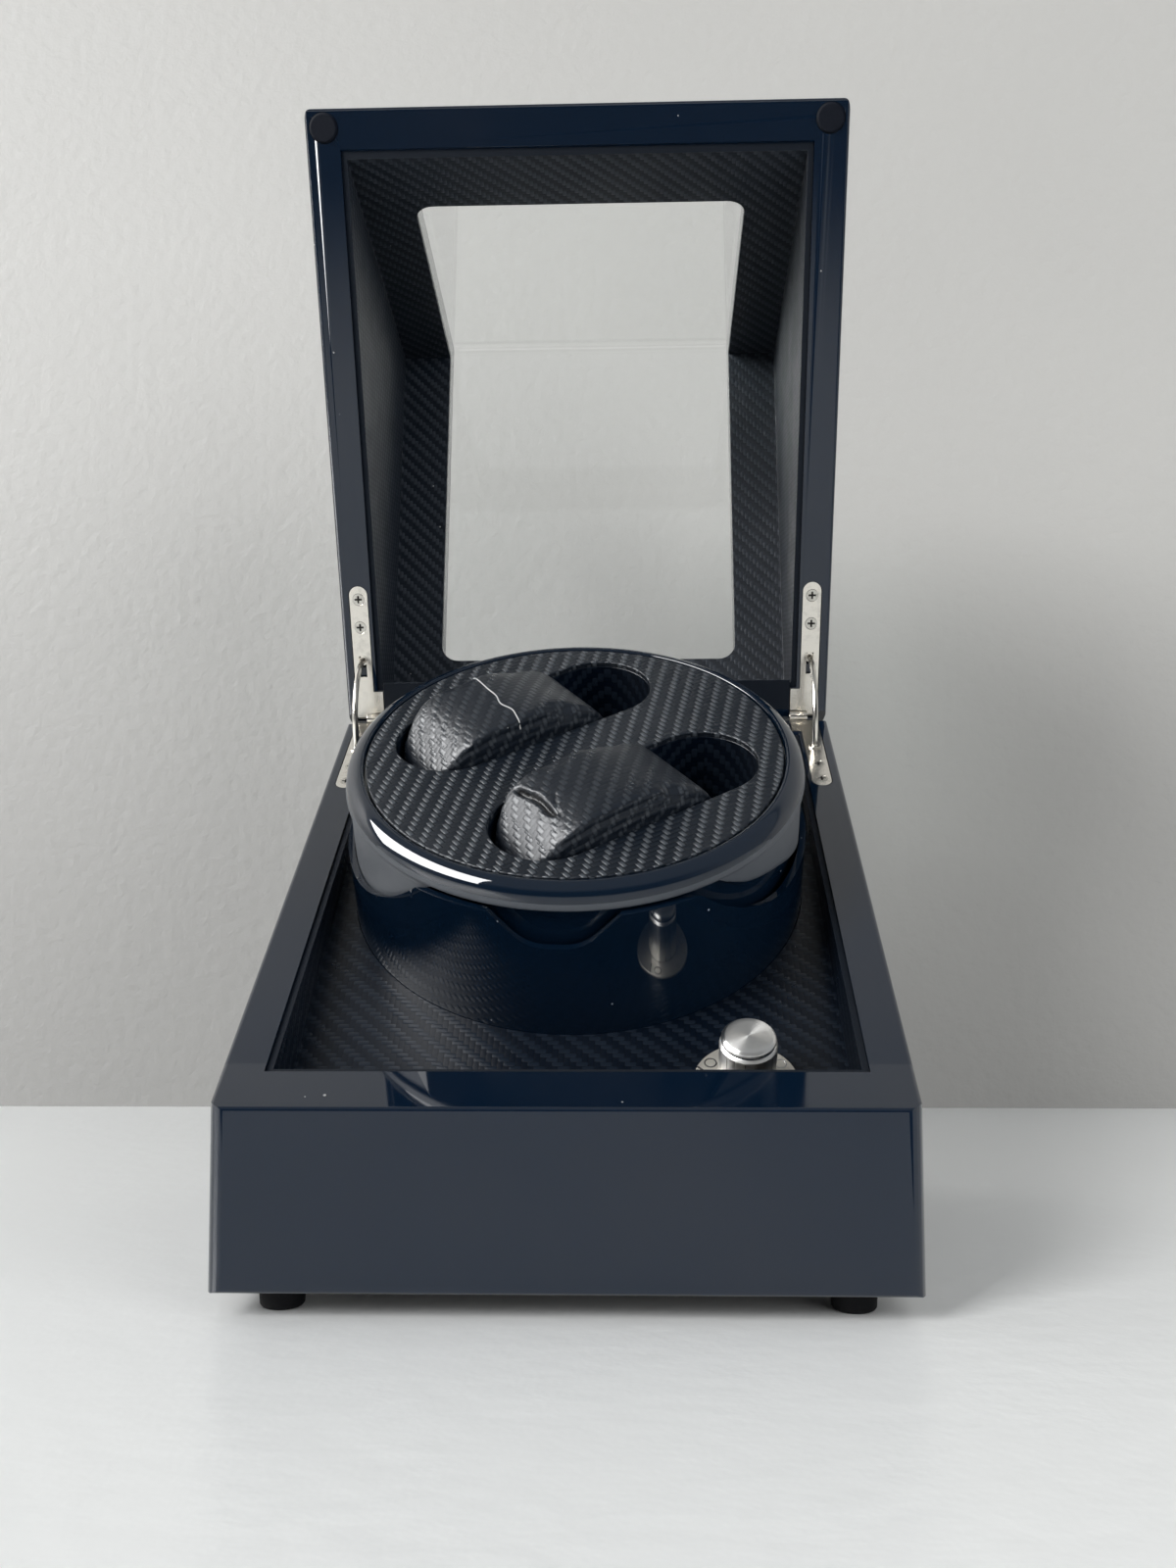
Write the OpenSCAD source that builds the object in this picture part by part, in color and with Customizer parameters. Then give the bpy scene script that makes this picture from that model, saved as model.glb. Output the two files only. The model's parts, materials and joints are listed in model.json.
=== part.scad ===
// Watch winder box for two watches, shown with its lid standing open.
// x runs across the box, y from front to back and z up.  The origin is at the middle of the
// open box's footprint, on the surface that the feet stand on.

/* [Box] */
// Width of the box over its side walls
box_w = 180; // [172:1:220]
// Depth of the box from front face to back face
box_d = 178; // [170:1:210]
// Height of the closed box without its feet
box_h = 197; // [192:1:230]
// Height of the base at its front face, without the feet
front_h = 46; // [42:1:60]
// Slope of the rim where base and lid meet
rim_slope = 34; // [32:0.5:36]
// Thickness of the wooden walls
wall = 11.5; // [9:0.5:14]
// Thickness of the lid's wooden top
lid_top_t = 12; // [9:0.5:16]
// Radius of the upright corners
corner_r = 4; // [2:0.5:8]
// Radius of the rounded rim and bottom edges
edge_r = 1.4; // [0.6:0.2:2.4]
// Radius of the bend between the lid's front and its top
bend_r = 5; // [4:0.5:9]
// Bevel along the back edge of both rims, measured towards the front
back_bevel = 4; // [3:0.5:6]
// Gap between the two rims when the lid is shut
rim_gap = 0.8; // [0.6:0.1:1.5]
// Thickness of the leather-covered lining boards
liner_t = 2; // [1:0.5:3]
// How far the lining boards stay below the rim
liner_drop = 0.8; // [0.4:0.1:2]
// Thickness of the leather strip on the back rims
strip_t = 0.6; // [0.4:0.1:1]

/* [Window] */
// Half of the window's width
window_half = 57.8; // [45:0.2:62]
// Width of the frame below the window, from the rim line at the front
window_sill = 36; // [24:1:60]
// Width of the frame behind the window, from the back face
window_back = 31.3; // [24:0.1:50]
// Radius of the window's corners
window_r = 6.5; // [3:0.5:12]
// Thickness of the window pane
pane_t = 3; // [2:0.5:4]
// Overlap of the pane on the frame around it
pane_lap = 4; // [3:0.5:6]
// Gap around the pane in its rebate
pane_gap = 0.1; // [0.05:0.05:0.3]

/* [Bottom] */
// Height of the rubber feet
foot_h = 7; // [5:0.5:12]
// Radius of a foot at the floor
foot_r = 5.8; // [4:0.2:9]
// Distance of a foot's middle from the side and front faces
foot_inset = 16; // [12:0.5:26]
// Thickness of the bottom panel
panel_t = 6; // [4:0.5:8]
// Width of the rebate that the bottom panel sits in
panel_lap = 5; // [3:0.5:7]

/* [Deck] */
// Tilt of the deck and the rotor from level
deck_tilt = 38; // [36:0.5:40]
// Depth of the deck below the rim, at the front lining
deck_drop = 21.6; // [18:0.2:26]
// Thickness of the deck panel
deck_t = 4; // [3:0.5:6]
// Width of the battens under the deck
batten_w = 6; // [4:0.5:8]

/* [Drum] */
// Gap between drum and side lining
drum_side_gap = 5; // [4:0.5:10]
// Gap between drum and back lining, along the deck
drum_back_gap = 6; // [3:0.5:10]
// Height of the drum above the deck
drum_h = 42; // [38:0.5:46]
// Thickness of the drum's wall
drum_wall = 2; // [1.5:0.5:3]
// Thickness of the drum's floor
drum_floor_t = 3; // [2:0.5:4]
// Depth of the scallops in the front and the back of the drum's edge
scallop_depth = 10.6; // [6:0.2:14]
// Half of their width at the bottom
scallop_half = 7.7; // [5:0.1:12]
// Depth of the wide scallops in the sides of the drum's edge
side_depth = 18.7; // [12:0.1:22]
// Half of the angle that a side scallop takes out of the edge
side_angle = 56.5; // [40:0.5:58]

/* [Rotor] */
// Gap between the rotor's ring and the drum's edge
ring_gap = 1; // [0.6:0.2:2]
// Height of the ring's bead, over the drum's edge gap
ring_h = 8.6; // [7:0.2:12]
// Width of the ring's bead
bead_w = 8; // [6:0.5:10]
// How far the ring stays inside the drum's outer face
ring_inset = 0.9; // [0.5:0.1:3]
// Thickness of the rotor's face plate
plate_t = 2; // [1.5:0.5:3]
// Radial clearance of the skirt in the drum
skirt_gap = 0.6; // [0.5:0.1:2]
// Thickness of the ring's skirt
skirt_t = 1.6; // [1.2:0.2:2.4]
// Depth of the skirt's two lobes below the ring
lobe_h = 15; // [8:0.5:18]
// Half of the width cut out between the lobes, at the ring
lobe_cut_half = 45; // [30:1:48]
// Height of the steep start of a lobe
lobe_step = 6.8; // [4:0.5:10]
// Slope of a lobe's lower edge
lobe_slope = 22; // [14:1:30]
// Thickness of the cup's wall
cup_wall = 2.2; // [1.6:0.2:3]
// Wall thickness of the two buckets that form the wells
bucket_wall = 1.8; // [1.2:0.2:2.2]
// Clearance between the cup and the drum's floor
cup_gap = 3; // [2:0.5:5]
// Radius of the rounded ends of the watch wells
well_r = 16.8; // [14:0.2:18]
// Width of the bridge between the two wells
well_bridge = 21.6; // [16:0.2:26]
// Least width of the plate beside a well
well_margin = 6.6; // [5:0.2:9]
// Turn of the wells from straight across the box
well_turn = 35.5; // [0:0.5:180]
// Thickness of the leather lining in a well
lining_t = 0.8; // [0.5:0.1:1.5]
// Thickness of the cup's floor
cup_floor_t = 3; // [2:0.5:5]

/* [Cushions] */
// Length of a watch cushion along its well
cushion_l = 66; // [50:1:76]
// How far a cushion's crest stands over the face plate
cushion_rise = 9; // [4:0.5:14]
// Clearance around a cushion in its well
cushion_gap = 0.5; // [0.3:0.1:1.5]
// Further clearance at its lower end
cushion_back = 1.5; // [0.5:0.1:4]

/* [Drive] */
// Radius of the rotor's steel spindle
spindle_r = 4; // [3:0.5:5]
// Running clearance of the spindle and shafts, on the radius
run_gap = 0.05; // [0.02:0.01:0.09]
// Wall thickness of the spindle's bushes
bush_wall = 2.5; // [1.5:0.5:4]
// Length of the bearing boss under the drum's floor
boss_l = 18; // [14:1:24]
// Gear module
gear_m = 1; // [0.8:0.1:1.2]
// Teeth of the drive gear
gear_teeth = 60; // [48:4:68]
// Teeth of the pinion
pinion_teeth = 15; // [12:1:17]
// Face width of the drive gear
gear_w = 6; // [4:0.5:8]
// Gap between gear teeth along the pitch circle
backlash = 0.2; // [0.1:0.05:0.3]
// Radius of the motor's gearbox
gearbox_r = 12.5; // [10:0.5:15]
// Length of the motor's gearbox
gearbox_l = 12; // [9:0.5:16]
// Length of the motor can
motor_l = 20; // [14:0.5:24]
// Radius of the motor's shaft
motor_shaft_r = 2; // [1.5:0.25:2.5]
// Thickness of the motor bracket's sheet
bracket_t = 2; // [1.5:0.5:3]

/* [Switch] */
// Distance of the knob from the middle of the box
knob_x = 48.2; // [30:0.2:54]
// Distance of the knob behind the front lining, along the deck
knob_front = 23.6; // [20:0.2:30]
// Least gap between the dial plate and the drum
knob_gap = 2; // [1:0.5:5]
// Radius of the knob
knob_r = 7.8; // [6:0.2:9]
// Height of the knob
knob_h = 16.4; // [12:0.2:17]
// Height of the metal cap on the knob
cap_h = 3; // [1.5:0.5:5]
// Number of flutes around the knob
knob_flutes = 24; // [12:1:32]
// Radius of the dial plate
dial_r = 14.4; // [12:0.2:16]
// Thickness of the dial plate
dial_t = 1; // [0.6:0.1:1.6]

/* [Power] */
// Distance of the power socket from the middle of the box
jack_x = 52; // [0:1:60]
// Height of the power socket above the box's bottom edge
jack_h = 26; // [20:1:40]
// Radius of the socket's threaded barrel
jack_r = 5.5; // [4.5:0.25:7]
// Radius of the hole that takes the plug
plug_hole_r = 2.85; // [2:0.05:3.5]
// Depth of the wide part of that hole behind the back face
plug_l = 5; // [4:0.5:7]

/* [Hinges] */
// Opening angle of the lid
open_angle = 100; // [94:1:106]
// Distance of the hinge leaves' middle from the side faces
hinge_inset = 6.8; // [6:0.1:7.4]
// Width of a hinge leaf
leaf_w = 7; // [6:0.2:8]
// Length of a hinge leaf from the pin
leaf_l = 51; // [46:1:60]
// Thickness of a hinge leaf
leaf_t = 1.5; // [1:0.1:2]
// Width of the leaf's foot at the pin
leaf_foot_w = 10.6; // [9:0.2:12]
// Length of the leaf's foot from the pin
leaf_foot_l = 10.7; // [8:0.1:14]
// Radius of the hinge knuckles
knuckle_r = 2.2; // [1.8:0.1:2.6]
// Length of both knuckles together
knuckle_l = 6.6; // [5:0.2:8]
// Radius of the hinge pin
pin_r = 1.1; // [0.8:0.1:1.3]
// Distance of the pin in front of the back face
pin_inset = 2; // [1.5:0.1:3]
// Radius of the arc that the stay follows round the pin
stay_arc_r = 22.5; // [20:0.5:26]
// Radius of the stay's wire
stay_wire_r = 1; // [0.8:0.1:1.2]

/* [Fasteners] */
// Radius of a screw head
head_r = 2.2; // [1.8:0.1:2.6]
// Radius of a screw's shank
shank_r = 1.2; // [0.9:0.1:1.4]
// Length of a screw
screw_l = 11; // [8:0.5:14]

/* [Hidden] */

$fn = 64;
fit = 0.1;              // clearance of parts that are set into one another
eps = 0.5;              // overshoot of cutters
half_w = box_w / 2;
in_half = half_w - wall;                 // inner face of the side walls
lined_half = in_half - liner_t;          // inner face of the side lining
back_in = box_d - wall;
lined_front = wall + liner_t;
lined_back = back_in - liner_t;
rim_front_z = foot_h + front_h;
top_z = foot_h + box_h;
function rim_z(y) = rim_front_z + y * tan(rim_slope);
bevel_run = back_bevel / cos(rim_slope);
gap_z = rim_gap / cos(rim_slope);        // rim gap measured upright

// Pin of the hinges, in the middle of the rim gap
pin_y = box_d - pin_inset;
pin_z = rim_z(pin_y) + gap_z / 2;
pin_s = pin_y / cos(rim_slope) + (gap_z / 2) * sin(rim_slope);

// Middle of the open box: its front is at y = 0 and its back is the lid's bend
rear_y = pin_y + (bend_r - pin_y) * cos(open_angle)
    + (top_z - bend_r - pin_z) * sin(open_angle) + bend_r;
mid_y = rear_y / 2;

// Deck and rotor axis
deck_run = (lined_back - lined_front) / cos(deck_tilt);
knob_reach = deck_run - drum_back_gap - knob_front;
knob_clear = dial_r + knob_gap;
// The drum is as wide as the side walls and the dial plate in front of it allow
drum_r = min(lined_half - drum_side_gap, (knob_x * knob_x + knob_reach * knob_reach
    - knob_clear * knob_clear) / (2 * (knob_reach + knob_clear)));
rotor_y = lined_back - (drum_r + drum_back_gap) * cos(deck_tilt);
deck_front_z = rim_z(lined_front) - deck_drop;
function deck_z(y) = deck_front_z + (y - lined_front) * tan(deck_tilt);
rotor_z = deck_z(rotor_y);
knob_s = knob_reach - drum_r;            // distance of the knob in front of the rotor's axis

// Heights above the deck, along the rotor's axis
drum_in_r = drum_r - drum_wall;
drum_floor_h = -deck_t - drum_floor_t;   // under side of the drum's floor
ring_r = drum_r - ring_inset;
ring_low = drum_h + ring_gap;
ring_top = ring_low + ring_h;
plate_r = ring_r - bead_w;
plate_top = ring_top - 1.6;
ledge_h = plate_top - plate_t;
ledge_r = plate_r - 3.6;
skirt_r = drum_in_r - skirt_gap;
cup_r = skirt_r - skirt_t - fit;
cup_low = -deck_t + cup_gap;
cup_top = ring_low;
bucket_low = cup_low + cup_floor_t;
well_low = bucket_low + bucket_wall;
well_off = well_r + well_bridge / 2;
well_reach = plate_r - well_margin - well_r;
well_half = sqrt(well_reach * well_reach - well_off * well_off);
boss_wall = 3;                           // wall of the cup's socket for the spindle
socket_h = 14;                           // depth of that socket
seat_h = 1;                              // overlap of the skirt with the ring above it
scallop_turn = -3;
crown_r = 4.2;                           // rounding of the ring's outer top edge
side_slope = 64;                         // slope of a side scallop's ends
lug_r = 6;
lug_out = 4.5;                           // distance of a lug's screw outside the drum
lug_cover = 1;                           // deck left above a lug's screw
lug_screw_l = drum_floor_t + deck_t - lug_cover - shank_r - fit;

// Drive train
boss_r = spindle_r + bush_wall + boss_wall;
boss_low = drum_floor_h - boss_l;
bush_r = spindle_r + bush_wall;
gear_gap = 2;                            // free space over the gear
gear_top = boss_low - gear_gap;
gear_low = gear_top - gear_w;
gear_r = gear_m * gear_teeth / 2;
pinion_r = gear_m * pinion_teeth / 2;
gear_centres = gear_r + pinion_r;
pinion_lap = 1;                          // pinion beyond each side of the gear
pressure_angle = 20;
pinion_w = gear_w + 2 * pinion_lap;
hub_wall = 4;
hub_rise = 1.5;
web_cut = 1.6;                           // depth of the recess on each side of the web
bracket_gap = 5;
bracket_side_gap = 6;
bracket_top = gear_low - bracket_gap;
bracket_low = bracket_top - bracket_t;
bracket_half = 13;                       // half width of the bracket strip
bracket_in = -gear_r - gear_m - bracket_side_gap;       // inner face of the bracket's far leg
bracket_out = gear_centres + gearbox_r + 3;
bracket_tab = 9;
motor_r = gearbox_r - 0.6;
spindle_low = bracket_low - 6;
clip_t = 1.2;
motor_out_r = motor_shaft_r + 2.5;       // round shoulder of the gearbox

// Switch: all parts share the knob's axis
switch_half = 8;
switch_depth = 9;
thread_r = 3.6;
shaft_r = 3;
nut_t = 2;
knob_low = dial_t + 0.6;
knob_top = knob_low + knob_h;
knob_well_r = 6;
board_t = 1.6;
board_half = [19, 15];

// Socket
socket_z = foot_h + jack_h;
socket_flange_r = jack_r + 2;
collar_t = 1.2;
socket_seat_t = 4;      // wood left between the collar and the nut

// Hinges
leaf_x = half_w - hinge_inset;           // middle line of the leaves
leaf_out = leaf_x + leaf_w / 2;
leaf_in = leaf_out - leaf_foot_w;        // inner edge of the leaf's foot
screw_1 = leaf_l - 15.5;
screw_2 = leaf_l - 5;
slot_half_w = stay_wire_r + 0.4;
pocket_half = 2.5;
knuckle_mid = leaf_in + knuckle_l / 2;
knuckle_gap = 0.3;
stop_grow = 0.8;                         // the stay's stop is thicker than its wire by this
stay_foot = 1.3;
nickel = [0.78, 0.76, 0.72];

// Screws
head_h = 1.3;
pan_h = 1.4;
recess_w = 0.6;
recess_d = 0.8;

// Lid's rubber bumpers
bumper_r = 4.75;
bumper_in = 6.4;        // distance of a bumper's middle from the faces
bumper_seat = 1;
bumper_slack = 0.05;

// Lid, modelled shut
lid_low = rim_z(0) + gap_z;
lid_radii = [edge_r, 0.4, 0.6, bend_r, bend_r];

// ---------------------------------------------------------------- helpers

function unit(v) = v / norm(v);

// Points of the arc that rounds corner b of a polygon between a and c
function corner_arc(a, b, c, r) =
    r <= 0 ? [b] :
    let (n = max(6, ceil(2.5 * sqrt(r))), u = unit(a - b), w = unit(c - b), half = acos(u * w) / 2,
        centre = b + unit(u + w) * r / sin(half),
        p = b + u * r / tan(half) - centre, q = b + w * r / tan(half) - centre,
        from = atan2(p.y, p.x), turn = ((atan2(q.y, q.x) - from + 540) % 360) - 180)
    [for (i = [0 : n]) centre + r * [cos(from + turn * i / n), sin(from + turn * i / n)]];

// A polygon's points with every corner rounded by its own radius
function rounded(p, radii) =
    let (n = len(p))
    [for (i = [0 : n - 1]) each corner_arc(p[(i + n - 1) % n], p[i], p[(i + 1) % n], radii[i])];

module placed() { translate([0, -mid_y, 0]) children(); }

// Rim frame: s runs up the slope from the front face and n stands on the rim
module on_rim() { translate([0, 0, rim_front_z]) rotate([rim_slope, 0, 0]) children(); }

// Deck frame: origin on the rotor's axis, in the deck's upper face
module on_deck() { translate([0, rotor_y, rotor_z]) rotate([deck_tilt, 0, 0]) children(); }

module on_knob() { on_deck() translate([knob_x, -knob_s, 0]) children(); }

// Swings what belongs to the lid from shut to open
module swung() {
    translate([0, pin_y, pin_z]) rotate([-open_angle, 0, 0]) translate([0, -pin_y, -pin_z])
        children();
}

// Extrudes a side view, given as [y, z] points, across the box
module across(points, half) {
    rotate([90, 0, 90]) linear_extrude(2 * half, center = true) polygon(points);
}

module round_rect(size, r) {
    polygon(rounded([[0, 0], [size.x, 0], [size.x, size.y], [0, size.y]], [r, r, r, r]));
}

// Upright prism with rounded corners that trims the box to its plan
module plan_prism() {
    translate([-half_w, 0, -eps]) linear_extrude(top_z + 2 * eps)
        round_rect([box_w, box_d], corner_r);
}

// Rounds an edge that runs along y at x = 0, z = 0, with the solid below and left of it
module edge_cutter(length) {
    rotate([-90, 0, 0]) linear_extrude(length) difference() {
        translate([-edge_r, -eps]) square([edge_r + eps, edge_r + eps]);
        translate([-edge_r, edge_r]) circle(edge_r);
    }
}

module both_sides() { children(); mirror([1, 0, 0]) children(); }

// Countersunk screw with a cross recess, its head's face at z = 0, pointing down
module screw(length) {
    difference() {
        union() {
            translate([0, 0, -head_h]) cylinder(head_h, shank_r, head_r, $fn = 32);
            translate([0, 0, -length]) cylinder(length, r = shank_r, $fn = 32);
            translate([0, 0, -length - shank_r]) cylinder(shank_r, 0.1, shank_r, $fn = 32);
        }
        for (a = [0, 90]) rotate(a) translate([-head_r * 0.6, -recess_w / 2, -recess_d])
            cube([head_r * 1.2, recess_w, recess_d + eps]);
    }
}

module screw_hole(length) {
    translate([0, 0, -head_h]) cylinder(head_h, shank_r, head_r + fit, $fn = 32);
    cylinder(eps, r = head_r + fit, $fn = 32);
    translate([0, 0, -length - shank_r - 1]) cylinder(length + shank_r + 1, r = shank_r, $fn = 32);
}

// ---------------------------------------------------------------- base

module base_outline() {
    across(rounded([[0, foot_h], [box_d, foot_h], [box_d, rim_z(box_d) - bevel_run],
        [box_d - back_bevel, rim_z(box_d - back_bevel)], [0, rim_z(0)]],
        [edge_r, edge_r, 0.6, 0.4, edge_r]), half_w);
}

module base_strip_space() {
    on_rim() translate([-leaf_in + fit, lined_back / cos(rim_slope), -strip_t])
        cube([2 * (leaf_in - fit), (box_d - lined_back) / cos(rim_slope) - bevel_run, strip_t + eps]);
}

module base_shell() {
    color([0.03, 0.03, 0.035]) placed() difference() {
        intersection() { base_outline(); plan_prism(); }
        translate([-in_half, wall, foot_h - eps])
            cube([2 * in_half, back_in - wall, top_z]);
        panel_space(0, panel_t);
        both_sides() on_rim() translate([half_w, -box_d, 0]) edge_cutter(3 * box_d);
        base_strip_space();
        both_sides() base_mortise();
        translate([jack_x, back_in - eps, socket_z]) rotate([-90, 0, 0])
            cylinder(wall + 2 * eps, r = jack_r + fit);
        translate([jack_x, back_in - eps, socket_z]) rotate([-90, 0, 0])
            cylinder(wall - socket_seat_t + eps, r = socket_flange_r + 2);
        panel_screw_places() screw_hole(screw_l);
    }
}

module panel_space(gap, depth) {
    translate([-in_half - panel_lap + gap, wall - panel_lap + gap, foot_h - (gap > 0 ? 0 : eps)])
        cube([2 * (in_half + panel_lap - gap), back_in - wall + 2 * (panel_lap - gap),
            depth + (gap > 0 ? 0 : eps)]);
}

// Screws go up through the panel's edge into the side walls
module panel_screw_places() {
    for (x = [-1, 1], y = [0.2, 0.5, 0.8])
        translate([x * (in_half + panel_lap / 2), wall + y * (back_in - wall), foot_h])
            rotate([180, 0, 0]) children();
}

module foot_places() {
    for (x = [-1, 1], y = [foot_inset, box_d - foot_inset])
        translate([x * (half_w - foot_inset), y, 0]) children();
}

module bottom_panel() {
    color([0.05, 0.05, 0.05]) placed() difference() {
        panel_space(fit, panel_t);
        panel_screw_places() screw_hole(screw_l);
        foot_places() translate([0, 0, foot_h - eps]) cylinder(panel_t, r = shank_r, $fn = 32);
    }
}

module panel_screws() {
    color([0.6, 0.6, 0.6]) placed() panel_screw_places() screw(screw_l);
}

module rubber_feet() {
    color([0.05, 0.05, 0.05]) placed() foot_places() difference() {
        union() {
            cylinder(1, foot_r - 0.6, foot_r);
            translate([0, 0, 1]) cylinder(foot_h - 1, foot_r, foot_r + 0.5);
        }
        translate([0, 0, -eps]) cylinder(foot_h * 0.55 + eps, r = foot_r * 0.45, $fn = 32);
    }
}

// Boards that line the walls above the deck; the back one folds over the rim
module base_lining() {
    color([0.1, 0.1, 0.11]) placed() difference() {
        intersection() {
            union() {
                difference() {
                    translate([-in_half, wall, foot_h])
                        cube([2 * in_half, back_in - wall, top_z]);
                    translate([-lined_half, lined_front, 0])
                        cube([2 * lined_half, lined_back - lined_front, 2 * top_z]);
                    difference() {
                        on_rim() translate([-half_w, -box_d, -liner_drop])
                            cube([box_w, 3 * box_d, top_z]);
                        below_base_strip();
                    }
                }
                intersection() {
                    base_strip_space();
                    on_rim() translate([-half_w, 0, -top_z]) cube([box_w, 2 * box_d, top_z]);
                }
            }
            on_deck() translate([-half_w, -2 * box_d, 0]) cube([box_w, 4 * box_d, top_z]);
        }
        both_sides() base_mortise();
    }
}

// The back board reaches up to the strip between the hinges
module below_base_strip() {
    on_rim() translate([-leaf_in + fit, lined_back / cos(rim_slope), -liner_drop - 1])
        cube([2 * (leaf_in - fit), 2 * liner_t, liner_drop - strip_t + 1 + fit]);
}

// ---------------------------------------------------------------- deck and drum

module deck_panel() {
    color([0.1, 0.1, 0.11]) placed() difference() {
        intersection() {
            on_deck() translate([-half_w, -2 * box_d, -deck_t]) cube([box_w, 4 * box_d, deck_t]);
            translate([-in_half + fit, wall + fit, 0])
                cube([2 * (in_half - fit), back_in - wall - 2 * fit, top_z]);
        }
        on_deck() translate([0, 0, -deck_t - eps])
            cylinder(deck_t + 2 * eps, r = drum_r + fit, $fn = 128);
        on_knob() translate([0, 0, -deck_t - eps]) cylinder(deck_t + 2 * eps, r = thread_r + fit);
        on_deck() drum_screw_places() translate([0, 0, -deck_t - eps])
            cylinder(deck_t - lug_cover + eps, r = shank_r, $fn = 32);
    }
}

module deck_battens() {
    color([0.5, 0.4, 0.3]) placed() intersection() {
        on_deck() for (x = [-1, 1])
            translate([x > 0 ? in_half - batten_w : -in_half, -2 * box_d, -deck_t - batten_w])
                cube([batten_w, 4 * box_d, batten_w]);
        translate([-in_half, wall, foot_h + panel_t])
            cube([2 * in_half, back_in - wall, top_z]);
    }
}

// Four lugs under the deck hold the drum
module drum_screw_places() {
    for (a = [45 : 90 : 315]) rotate(a) translate([drum_r + lug_out, 0, 0]) children();
}

// The screws go up through the lugs into the deck, which covers their tips
module under_lugs() {
    drum_screw_places() translate([0, 0, drum_floor_h]) rotate([180, 0, 0]) children();
}

// Cuts two scallops through opposite sides of the drum's edge: flat for half each way at the
// bottom, with sides that rise at the slope given
module scallop_pair(half, depth, slope, r) {
    high = drum_h + lobe_h;
    run = (high - drum_h + depth) / tan(slope);
    rotate([90, 0, 0]) linear_extrude(3 * drum_r, center = true)
        polygon(rounded([[-half - run, high], [-half, drum_h - depth], [half, drum_h - depth],
            [half + run, high]], [0, r, r, 0]));
}

module drum() {
    side_half = drum_r * sin(side_angle) - side_depth / tan(side_slope);
    color([0.02, 0.02, 0.025]) placed() on_deck() difference() {
        union() {
            translate([0, 0, drum_floor_h])
                cylinder(drum_h - drum_floor_h, r = drum_r, $fn = 128);
            translate([0, 0, boss_low]) cylinder(boss_l + eps, r = boss_r);
            drum_screw_places() translate([0, 0, drum_floor_h]) {
                cylinder(drum_floor_t, r = lug_r);
                translate([-2 * lug_r, -lug_r, 0]) cube([2 * lug_r, 2 * lug_r, drum_floor_t]);
            }
        }
        translate([0, 0, -deck_t]) cylinder(drum_h + deck_t + eps, r = drum_in_r, $fn = 128);
        translate([0, 0, boss_low - eps]) cylinder(boss_l + drum_floor_t + 2 * eps, r = bush_r);
        rotate(scallop_turn) scallop_pair(scallop_half, scallop_depth, 45, scallop_depth + 1.4);
        rotate(scallop_turn + 90) scallop_pair(side_half, side_depth, side_slope, side_half * 0.7);
        under_lugs() screw_hole(lug_screw_l);
        bracket_screw_places() translate([0, 0, drum_floor_h - eps])
            cylinder(drum_floor_t + 2 * eps, r = shank_r, $fn = 32);
    }
}

module drum_screws() {
    color([0.6, 0.6, 0.6]) placed() on_deck() under_lugs() screw(lug_screw_l);
}

// ---------------------------------------------------------------- rotor

// The ring: a rounded bead over the drum's edge, a ledge for the plate and a lobed skirt
module rotor_ring() {
    skirt_low = ring_low - lobe_h;
    color([0.02, 0.02, 0.025]) placed() on_deck() {
        rotate_extrude($fn = 128) polygon(rounded([[ledge_r, ledge_h], [ledge_r, ring_low],
            [ring_r, ring_low], [ring_r, ring_top], [plate_r + fit, ring_top],
            [plate_r + fit, ledge_h]], [0, 0, 0.5, crown_r, 2.4, 0]));
        difference() {
            translate([0, 0, skirt_low]) cylinder(lobe_h + seat_h, r = skirt_r, $fn = 128);
            translate([0, 0, skirt_low - eps])
                cylinder(lobe_h + seat_h + 2 * eps, r = skirt_r - skirt_t, $fn = 128);
            rotate([90, 0, 0]) linear_extrude(3 * drum_r, center = true) lobe_cut();
        }
    }
}

// Front view of what is cut from the skirt between and below its two lobes
module lobe_cut() {
    out = lobe_cut_half + lobe_step + drum_r;
    step_low = ring_low - lobe_step;
    out_low = step_low - drum_r * tan(lobe_slope);
    half = [[lobe_cut_half, ring_low], [lobe_cut_half + lobe_step, step_low], [out, out_low]];
    mirrored = [for (p = half) [-p.x, p.y]];
    polygon(rounded([half[0], half[1], half[2], mirrored[2], mirrored[1], mirrored[0]],
        [0, 2 * lobe_step, 0, 0, 2 * lobe_step, 0]));
}

// Places its children in both wells: x along the well, y across it
module wells() {
    for (side = [1, -1]) rotate(well_turn + (side > 0 ? 0 : 180)) translate([0, well_off, 0])
        rotate(side > 0 ? 0 : 180) children();
}

module stadium(half, r) {
    translate([-half, -r]) square([2 * half, 2 * r]);
    for (x = [-half, half]) translate([x, 0]) circle(r);
}

module rotor_plate() {
    color([0.1, 0.1, 0.11]) placed() on_deck() difference() {
        translate([0, 0, ledge_h]) cylinder(plate_t, r = plate_r, $fn = 128);
        wells() translate([0, 0, ledge_h - eps]) linear_extrude(plate_t + 2 * eps)
            stadium(well_half, well_r);
    }
}

// The cup: an open bowl with a socket for the spindle
module rotor_cup() {
    color([0.02, 0.02, 0.025]) placed() on_deck() difference() {
        union() {
            difference() {
                translate([0, 0, cup_low]) cylinder(cup_top - cup_low, r = cup_r, $fn = 128);
                translate([0, 0, bucket_low])
                    cylinder(cup_top, r = cup_r - cup_wall, $fn = 128);
            }
            translate([0, 0, cup_low]) cylinder(socket_h + 2, r = spindle_r + boss_wall);
        }
        translate([0, 0, cup_low - eps]) cylinder(socket_h + eps, r = spindle_r);
    }
}

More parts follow.
